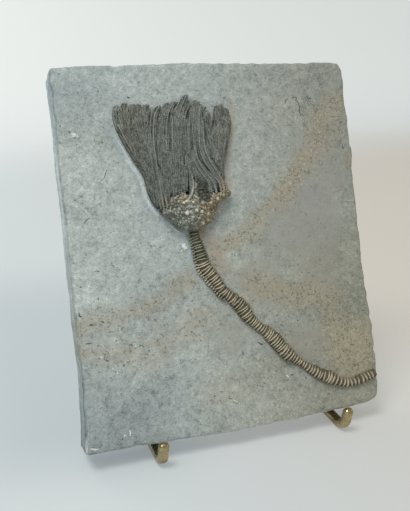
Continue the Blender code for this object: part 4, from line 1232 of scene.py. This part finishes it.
def pinnule_routes(index, random):
    """Fine strands that leave the ridge on alternate sides and run forward along the arm."""
    route = ARM_ROUTES[index]
    tip = route[-1][1]
    routes, radii = [], []
    side = -1.0 if index % 2 else 1.0
    start = route[0][1] + 0.6
    share = np.linspace(0.0, 1.0, PINNULE_POINTS)
    while start < tip - 1.2:
        length = random.uniform(*PINNULE_LENGTHS)
        v = np.linspace(start, min(start + length, tip - 0.1), PINNULE_POINTS)
        left, middle, right, _, _ = arm_edges(index, v)
        edge = right if side > 0 else left
        narrow = tip_shape(v, tip)
        reach = share ** random.uniform(0.5, 0.95)
        spread = random.uniform(0.7, 1.04)
        waver = random.uniform(0.0, 0.13) * np.sin(share * 7.0 + random.uniform(0.0, 6.0))
        x = middle + (0.2 * side + (edge - middle - 0.1 * side) * reach * spread + waver) * narrow
        height, deep = bed_height(x, v, middle, ridge_strength(index, v))
        height = lowered(height, narrow)
        lift = np.interp(share, [0.0, 0.3, 1.0],
                         [-0.04, random.uniform(0.02, 0.14), random.uniform(-0.08, 0.05)])
        routes.append(np.column_stack([x, v, np.maximum(height + lift + 0.3 * deep, LOWEST_STRAND)]))
        radii.append(course(share, PINNULE_TAPER) * random.uniform(*PINNULE_SIZES))
        side = -side
        start += random.uniform(*PINNULE_SPACINGS)
    return routes, radii


def bead_mesh(name, rings, segments, square):
    """Rounded plate of unit size: x across, y out, z along. Its points carry painted light, brightest
    round its middle on the side facing out, and painted shade towards its ends.
    """
    points = [(0.0, 0.0, -0.5)]
    rims = [0.2]
    for ring in range(1, rings):
        angle = math.pi * ring / rings
        z = -0.5 * math.copysign(abs(math.cos(angle)) ** square, math.cos(angle))
        radius = math.sin(angle) ** square
        for step in range(segments):
            turn = 2.0 * math.pi * step / segments
            points.append((math.cos(turn) * radius, math.sin(turn) * radius, z))
            rims.append(radius ** 3 * (0.5 + 0.5 * max(math.sin(turn), 0.0)))
    points.append((0.0, 0.0, 0.5))
    rims.append(0.2)
    steps = [(step, (step + 1) % segments) for step in range(segments)]
    last = len(points) - 1
    low = last - segments
    faces = [(0, 1 + after, 1 + step) for step, after in steps]
    faces += ring_quads(rings - 1, segments, first=1)
    faces += [(low + step, low + after, last) for step, after in steps]
    return add_object(name, make_mesh(name, points, faces, rims))


def build_arms(material):
    random = np.random.default_rng(ARM_SEED)
    plate = bead_mesh("brachial", 6, 8, 0.75)
    plates = plates_tree("row_of_brachials")
    strands = strands_tree("pinnules")
    for index in range(len(ARM_ROUTES)):
        name = f"crown_arm_{index + 1:02d}"
        ridge, radius = arm_ridge(index)
        beads = grown_mesh(curve_object("ridge", [ridge], [radius]), plates, {
            "Plate": plate, "Material": material, "Seed": index, **BRACHIALS})
        strength = ridge_strength(index, read_rows(beads)[:, 1])
        # The plates' painted crest light and shade grow stronger where the ridge stands out more clearly
        store_values(beads, read_values(beads) * (0.45 + 0.65 * strength))
        routes, radii = pinnule_routes(index, random)
        feathers = grown_mesh(curve_object("pinnule", routes, radii), strands, {
            "Sides": 5, "Rim": 0.5, "Material": material})
        tones = random.uniform(0.2, 0.85, len(routes))
        store_values(feathers, np.repeat(tones, len(feathers.vertices) // len(routes)))
        parts = [arm_bed(index), beads, feathers]
        for line, size in side_lines(index, random):
            rim = 0.5 + 0.25 * float(np.mean(ridge_strength(index, line[:, 1])))
            parts.append(grown_mesh(curve_object("side_line", [line], [size]), strands, {
                "Sides": 6, "Rim": rim, "Material": material}))
        make_piece(name, merged_mesh(name, parts), material,
                   [f"arm_{index + 1:02d}"], crown_to_world)
    remove_object(plate)


# ---------------------------------------------------------------- calyx

def nodule_object():
    """Uneven little lump of unit radius."""
    holder = bead_mesh("nodule", 5, 7, 1.0)
    mesh = holder.data
    mesh.attributes.remove(mesh.attributes["rim"])
    for vertex in mesh.vertices:
        x, y, z = vertex.co
        swell = 1.0 + 0.18 * math.sin(5.0 * x + 3.0 * z) + 0.12 * math.sin(4.0 * y - 6.0 * z)
        vertex.co = (x * swell, y * swell, 2.0 * z * swell)
    return holder


def calyx_edge():
    """Evenly spaced outline of the calyx, and the height of its edge there."""
    knots = np.array(CALYX_OUTLINE)
    for place in range(len(knots)):
        x, v = knots[place]
        knots[place, 0] = settled_x(x, v) if place in CALYX_ARM_EDGE else x - SIGHT_SLOPE * 1.1
    outline, _ = smooth_route(knots, 0.35, closed=True)
    places = np.arange(CALYX_COLUMNS) / CALYX_COLUMNS
    along = np.arange(len(outline) + 1) / len(outline)
    outline = np.stack([np.interp(places, along, np.append(side, side[0])) for side in outline.T], axis=1)
    height = np.full(CALYX_COLUMNS, CALYX_FREE_EDGE)
    for step, place in enumerate(outline):
        if int(np.argmin(np.hypot(*(knots - place).T))) in CALYX_ARM_EDGE:
            height[step] = 0.8 * float(crown_relief(place[0], place[1]))
    height = np.concatenate([height[-4:], height, height[:4]])
    return outline, np.convolve(height, np.ones(9) / 9.0, "valid")


def build_calyx(material):
    around = CALYX_COLUMNS
    rings = CALYX_RINGS
    crest = CALYX_RELIEF - NODULE_ROOM
    outline, edge_height = calyx_edge()
    middle = np.array(CALYX_MIDDLE)
    shares = (np.arange(1, rings + 1) / rings) ** 0.8
    points = np.empty((rings, around, 3))
    points[:, :, :2] = middle + (outline - middle)[None, :, :] * shares[:, None, None]
    dome = np.sqrt(np.clip(1.0 - shares ** 2, 0.0, 1.0))[:, None]
    points[:, :, 2] = edge_height[None, :] + (crest - edge_height[None, :]) * dome
    flat = points.reshape(-1, 3)
    grit, lumps, swells = (lattice_noise(flat, size, seed) for size, seed in CALYX_NOISE)
    fade = smooth_step(1.0, 0.86, np.repeat(shares, around))
    flat[:, 2] += (0.14 * grit + 0.3 * lumps + 0.45 * swells - 0.3) * (0.3 + 0.7 * fade)
    flat[:, 2] = np.maximum(flat[:, 2], 0.3)
    rim = np.clip(0.3 + 0.3 * grit + 0.15 * lumps, 0.0, 1.0)
    foot = np.column_stack([outline, np.full(around, UNDERSIDE)])
    points = np.concatenate([[(*middle, crest)], flat, foot])
    faces = [(0, 1 + step, 1 + (step + 1) % around) for step in range(around)]
    for ring in range(rings):
        low = 1 + ring * around
        for step in range(around):
            after = (step + 1) % around
            faces.append((low + step, low + around + step, low + around + after, low + after))
    faces.append(tuple(1 + rings * around + step for step in reversed(range(around))))
    cup = make_mesh("cup", points, faces, np.concatenate([[0.5], rim, np.zeros(around)]))
    skin = make_mesh("skin", points[:-around], [f for f in faces if max(f) < len(points) - around])

    nodule = nodule_object()
    nodules = grown_mesh(add_object("ground", skin), nodules_tree("calyx_nodules"),
                         {"Nodule": nodule, "Material": material, **NODULES})
    spine, _ = smooth_route(CALYX_SPINE, 0.3)
    thickness = course(np.linspace(0.0, 1.0, len(spine)), SPINE_TAPER)
    spine = grown_mesh(curve_object("spine", [spine], [thickness]), strands_tree("calyx_spine"),
                       {"Sides": 8, "Rim": 0.45, "Material": material})
    parts = [cup, nodules, spine]
    for (x, v), radius, tone in CALYX_TUBERCLES:
        lump = nodule.data.copy()
        near = np.argmin(np.hypot(flat[:, 0] - x, flat[:, 1] - v))
        move_points(lump, read_rows(lump) * radius + (x, v, flat[near, 2] + 0.25 * radius))
        store_values(lump, np.full(len(lump.vertices), tone))
        parts.append(lump)
    remove_object(nodule)
    mesh = merged_mesh("calyx_cup", parts)
    return make_piece("calyx_cup", mesh, material, ["calyx"])


# ---------------------------------------------------------------- stem

def build_stem(material):
    route, along = smooth_route(STEM_ROUTE, STEM_STEP)
    width = course(along, STEM_WIDTHS)
    half = 0.5 * width
    height = course(along, STEM_RELIEFS) * width
    centre = np.column_stack([route, 0.22 * height])
    step = np.gradient(route, axis=0)
    step /= np.linalg.norm(step, axis=1)[:, None]
    side = np.stack([step[:, 1], -step[:, 0]], axis=1)

    disc = bead_mesh("columnal", 8, 30, 0.62)
    tooth = bead_mesh("tooth", 5, 8, 0.7)
    plates = plates_tree("row_of_columnals")
    parts = []
    for start, stop, pitch in STEM_PITCHES:
        chosen = (along >= start - 0.25) & (along <= stop + 0.25)
        parts.append(grown_mesh(curve_object("stalk", [centre[chosen]], [half[chosen]]), plates, {
            "Plate": disc, "Pitch": pitch, "Flatness": 0.84, "Length": 0.62 * pitch, "Tilt": 0.16,
            "Unevenness": 0.10, "Material": material, "Seed": int(start)}))
    upper = (along > TOOTH_STRETCH[0]) & (along < TOOTH_STRETCH[1])
    teeth = np.column_stack([route + side * (half[:, None] + 0.1), np.full(len(route), 0.6)])
    teeth = curve_object("teeth", [teeth[upper]], [np.full(upper.sum(), 0.85)])
    parts.append(grown_mesh(teeth, plates, {
        "Plate": tooth, "Pitch": STEM_PITCHES[0][2], "Flatness": 0.75, "Length": 0.5, "Tilt": 0.15,
        "Unevenness": 0.25, "Material": material, "Seed": 8}))
    remove_object(disc)
    remove_object(tooth)

    turns = 2.0 * math.pi * np.arange(CORE_SIDES) / CORE_SIDES
    rows = []
    for place, across, wide, out in zip(centre, side, 0.40 * width, 0.345 * width):
        edge = place[:2] + across * (np.cos(turns) * wide)[:, None]
        rows.append(np.column_stack([edge, place[2] + np.sin(turns) * out]))
    parts.append(make_mesh("core", np.concatenate(rows), loft_faces(len(rows), CORE_SIDES)))
    mesh = merged_mesh("stem_columnals", parts)

    # Painted shade along the left side, a patchy tone, and pale where the teeth are
    place = read_rows(mesh)
    gap = np.hypot(place[:, :1] - route[None, :, 0], place[:, 1:2] - route[None, :, 1])
    near = np.argmin(gap, axis=1)
    across = np.sum((place[:, :2] - route[near]) * side[near], axis=1) / half[near]
    rim = read_values(mesh) * (1.0 - 0.45 * smooth_step(0.15, -0.85, across))
    rim = rim + 0.22 * lattice_noise(place, 2.6, 95)
    rim += 0.9 * smooth_step(0.85, 1.05, across) * smooth_step(50.0, 54.0, place[:, 1])
    store_values(mesh, rim)
    return make_piece("stem_columnals", mesh, material, ["stem"])


# ---------------------------------------------------------------- easel

def bar_profile():
    """Flattened bar with round corners: across its width and through its thickness."""
    flat = 0.5 * BAR_FLAT
    wide = 0.5 * BAR_WIDTH
    thick = 0.5 * BAR_THICKNESS
    corners = np.array([
        (-flat, -thick), (flat, -thick), (wide, -0.5 * thick), (wide, 0.5 * thick),
        (flat, thick), (-flat, thick), (-wide, 0.5 * thick), (-wide, -0.5 * thick),
    ])
    for _ in range(2):
        after = np.roll(corners, -1, axis=0)
        corners = np.stack([0.75 * corners + 0.25 * after, 0.25 * corners + 0.75 * after], axis=1)
        corners = corners.reshape(-1, 2)
    return corners


def sweep_bar(node, path, sizes, normal, material):
    """Bar along a path in world millimetres. Its thickness turns with the path."""
    tangents = [(path[min(index + 1, len(path) - 1)] - path[max(index - 1, 0)]).normalized()
                for index in range(len(path))]
    normal = Vector(normal)
    profile = bar_profile()
    rows = []
    for index, (place, tangent, size) in enumerate(zip(path, tangents, sizes)):
        if index > 0:
            normal = tangents[index - 1].rotation_difference(tangent) @ normal
        normal = (normal - tangent * normal.dot(tangent)).normalized()
        across = tangent.cross(normal)
        rows.append(np.array(place) + profile[:, :1] * size * np.array(across)
                    + profile[:, 1:] * size * np.array(normal))
    name = f"{node}_bar"
    mesh = make_mesh(name, np.concatenate(rows), loft_faces(len(rows), len(profile)))
    piece = make_piece(name, mesh, material, [node], to_world=lambda points: points * MM)
    piece.data.set_sharp_from_angle(angle=math.radians(50.0))


def bend(centre, start, end, steps):
    """Points of an arc from start to end, with both of them."""
    first = start - centre
    turned = [first.slerp(end - centre, step / steps) for step in range(1, steps)]
    return [start] + [centre + spoke.normalized() * first.length for spoke in turned] + [end]


def rest_point(x, length):
    """Point in the plane of the sloping bars, at x and a length up from the floor."""
    up = Vector((0.0, math.sin(SLAB_LEAN), math.cos(SLAB_LEAN)))
    back = Vector((0.0, math.cos(SLAB_LEAN), -math.sin(SLAB_LEAN)))
    edge = Vector((0.0, FRONT_EDGE_Y, FRONT_EDGE_Z))
    heel = edge + back * (SLAB_THICKNESS + GAP + 0.5 * BAR_THICKNESS)
    drop = (heel.z - 0.5 * BAR_THICKNESS) / up.z
    place = heel + up * (length - drop)
    return Vector((x, place.y, place.z))


def side_path(side):
    """Middle line of one side, and the size of the bar at each point."""
    x = EASEL_CENTRE_X + side * EASEL_HALF_SPACING
    half = 0.5 * BAR_THICKNESS
    tip_y = HOOK_FRONT_Y + half
    hook_centre = Vector((x, tip_y + HOOK_LEAN + HOOK_BEND_RADIUS, half + HOOK_BEND_RADIUS))
    hook_top = Vector((x, tip_y + HOOK_LEAN, half + HOOK_BEND_RADIUS))
    hook_end = Vector((x, hook_centre.y, half))
    path = []
    sizes = []
    for step in range(9):
        angle = 0.5 * math.pi * step / 8
        drop = 1.5 * (1.0 - math.cos(angle))
        path.append(Vector((x, tip_y + 0.08 * drop, HOOK_TIP_Z - drop)))
        sizes.append(max(math.sin(angle), 0.12))
    path += [path[8].lerp(hook_top, step / 5) for step in range(1, 5)]
    path += bend(hook_centre, hook_top, hook_end, 12)
    heel = rest_point(x, 0.0)
    top = rest_point(EASEL_CENTRE_X + side * TOP_HALF_SPACING, REST_LENGTH)
    rise = (top - heel).normalized()
    floor = Vector((0.0, -1.0, 0.0))
    turn = math.pi - rise.angle(floor)
    reach = HEEL_BEND_RADIUS * math.tan(0.5 * turn)
    centre = heel + (floor + rise).normalized() * (HEEL_BEND_RADIUS / math.cos(0.5 * turn))
    path += bend(centre, heel + floor * reach, heel + rise * reach, 10) + [top]
    return path, sizes + [1.0] * (len(path) - len(sizes))


def straight_bar(node, start, end, normal, material):
    """Straight bar with short steps that round its ends."""
    along = (end - start).normalized()
    places = [start + along * reach for reach, _ in BAR_END]
    sizes = [size for _, size in BAR_END]
    path = places + [end - (place - start) for place in reversed(places)]
    sweep_bar(node, path, sizes + sizes[::-1], normal, material)


def build_easel(material):
    for node, side in (("easel_left_side", -1.0), ("easel_right_side", 1.0)):
        sweep_bar(node, *side_path(side), (0.0, -1.0, 0.0), material)
    out = Vector((0.0, -math.cos(SLAB_LEAN), math.sin(SLAB_LEAN)))
    side_clear = -(0.5 * BAR_WIDTH / math.cos(SIDE_SPLAY) + 2.5 * GAP)
    for node, length, overhang in (
        ("easel_lower_bar", LOWER_BAR_HEIGHT, side_clear),
        ("easel_top_bar", TOP_BAR_LENGTH, 3.0),
    ):
        share = length / REST_LENGTH
        half = EASEL_HALF_SPACING + (TOP_HALF_SPACING - EASEL_HALF_SPACING) * share + overhang
        ends = [rest_point(EASEL_CENTRE_X + reach, length) for reach in (-half, half)]
        straight_bar(node, *ends, out, material)
    foot_y = REAR_FOOT_BACK_Y - 0.5 * BAR_WIDTH
    foot = [Vector((EASEL_CENTRE_X + reach * REAR_FOOT_LENGTH, foot_y, 0.5 * BAR_THICKNESS))
            for reach in (-0.5, 0.5)]
    straight_bar("easel_rear_foot", *foot, (0.0, 0.0, 1.0), material)
    top = rest_point(EASEL_CENTRE_X, TOP_BAR_LENGTH + 0.5 * BAR_WIDTH)
    top -= out * (BAR_THICKNESS + 2.0 * GAP)
    bottom = Vector((EASEL_CENTRE_X, foot_y, BAR_THICKNESS + GAP))
    straight_bar("easel_rear_leg", top, bottom, (0.0, 1.0, 0.0), material)


# ---------------------------------------------------------------- studio

def build_sweep():
    """Pale seamless paper that curves up behind the stand. It glows though it is no lamp: painted light,
    brighter towards the top, with a warmer painted shade to the right and a painted shadow beside the
    slab's lower left.
    """
    rows = [(-1.2, 0.0)]
    for step in range(17):
        angle = 0.5 * math.pi * step / 16
        rows.append((SWEEP_BACK + 0.5 * math.sin(angle), 0.5 - 0.5 * math.cos(angle)))
    rows.append((SWEEP_BACK + 0.5, 2.4))
    points = [(x, y, z - FLOOR_GAP) for y, z in rows for x in (-2.2, 2.2)]
    faces = [(2 * k, 2 * k + 1, 2 * k + 3, 2 * k + 2) for k in range(len(rows) - 1)]
    mesh = bpy.data.meshes.new("studio_sweep")
    mesh.from_pydata(points, [], faces)
    mesh.shade_smooth()
    paper, graph, shader = new_finish("studio_paper")
    x, y, _ = graph.wire("ShaderNodeTexCoord", output="Object").parts()
    # Where the paper is painted warmer and darker, to the right
    painted_warm_shade = x.above(-0.06, 0.16) * (0.9 - y).above(0.0, 0.5)
    # Painted shadow of the slab on the paper beside its left side
    painted_slab_shadow = (x + 0.14).above(0.0, 0.07) * (y + 0.05).above(0.0, 0.05) * (0.24 - y).above(0.0, 0.13)
    # The glow is painted light, brighter towards the top of the sweep
    glow = y.above(0.45, 1.05).between((0.285, 0.310, 0.318), (0.46, 0.475, 0.46))
    glow = layered(glow, [
        (painted_warm_shade, (0.94, 0.80, 0.66), TINT),
        (painted_slab_shadow * (0.0 - x).above(0.0, 0.04), (0.62, 0.67, 0.71), TINT),
    ])
    # The base colour is warmer to the right too, under the same painted shade
    graph.fill(shader, {"Base Color": painted_warm_shade.between((0.285, 0.298, 0.297), (0.298, 0.284, 0.266)),
                        "Emission Color": glow, "Emission Strength": 1.0, "Roughness": 0.95})
    mesh.materials.append(paper)
    add_object("studio_sweep", mesh)


def build_lights():
    world = bpy.data.worlds.new("studio_light")
    world.use_nodes = True
    background = world.node_tree.nodes["Background"]
    background.inputs["Color"].default_value = (0.93, 0.97, 1.0, 1.0)
    background.inputs["Strength"].default_value = 0.5
    bpy.context.scene.world = world
    for name, place, aim, size, power, tint in LIGHTS:
        lamp = bpy.data.lights.new(name, "AREA")
        lamp.size = size
        lamp.energy = power
        lamp.color = tint
        light = add_object(name, lamp)
        light.location = place
        light.rotation_euler = (Vector(aim) - Vector(place)).to_track_quat("-Z", "Y").to_euler()


def build_camera():
    flat = math.cos(CAMERA_PITCH)
    ahead = Vector((math.sin(CAMERA_YAW) * flat, math.cos(CAMERA_YAW) * flat, -math.sin(CAMERA_PITCH)))
    lens = bpy.data.cameras.new("camera")
    lens.sensor_fit = "HORIZONTAL"
    lens.sensor_width = CAMERA_SENSOR
    lens.lens = CAMERA_REACH * CAMERA_SENSOR
    lens.clip_start = 0.01
    camera = add_object("camera", lens)
    camera.location = CAMERA_PLACE
    camera.rotation_euler = ahead.to_track_quat("-Z", "Y").to_euler()
    bpy.context.scene.camera = camera
    bpy.context.scene.view_settings.view_transform = "Standard"
    bpy.context.scene.view_settings.look = "None"


def main():
    build_slab(stone_finish())
    build_arms(fossil_finish("arm_calcite", *ARM_COLOURS, 0.95, ARM_TINTS, 0.7))
    build_calyx(fossil_finish("calyx_calcite", *CALYX_COLOURS, 0.8, CALYX_TINTS, 0.5))
    build_stem(fossil_finish("stem_calcite", *STEM_COLOURS, 1.0, STEM_TINTS, 0.5))
    build_easel(brass_finish())
    build_sweep()
    build_lights()
    build_camera()


main()
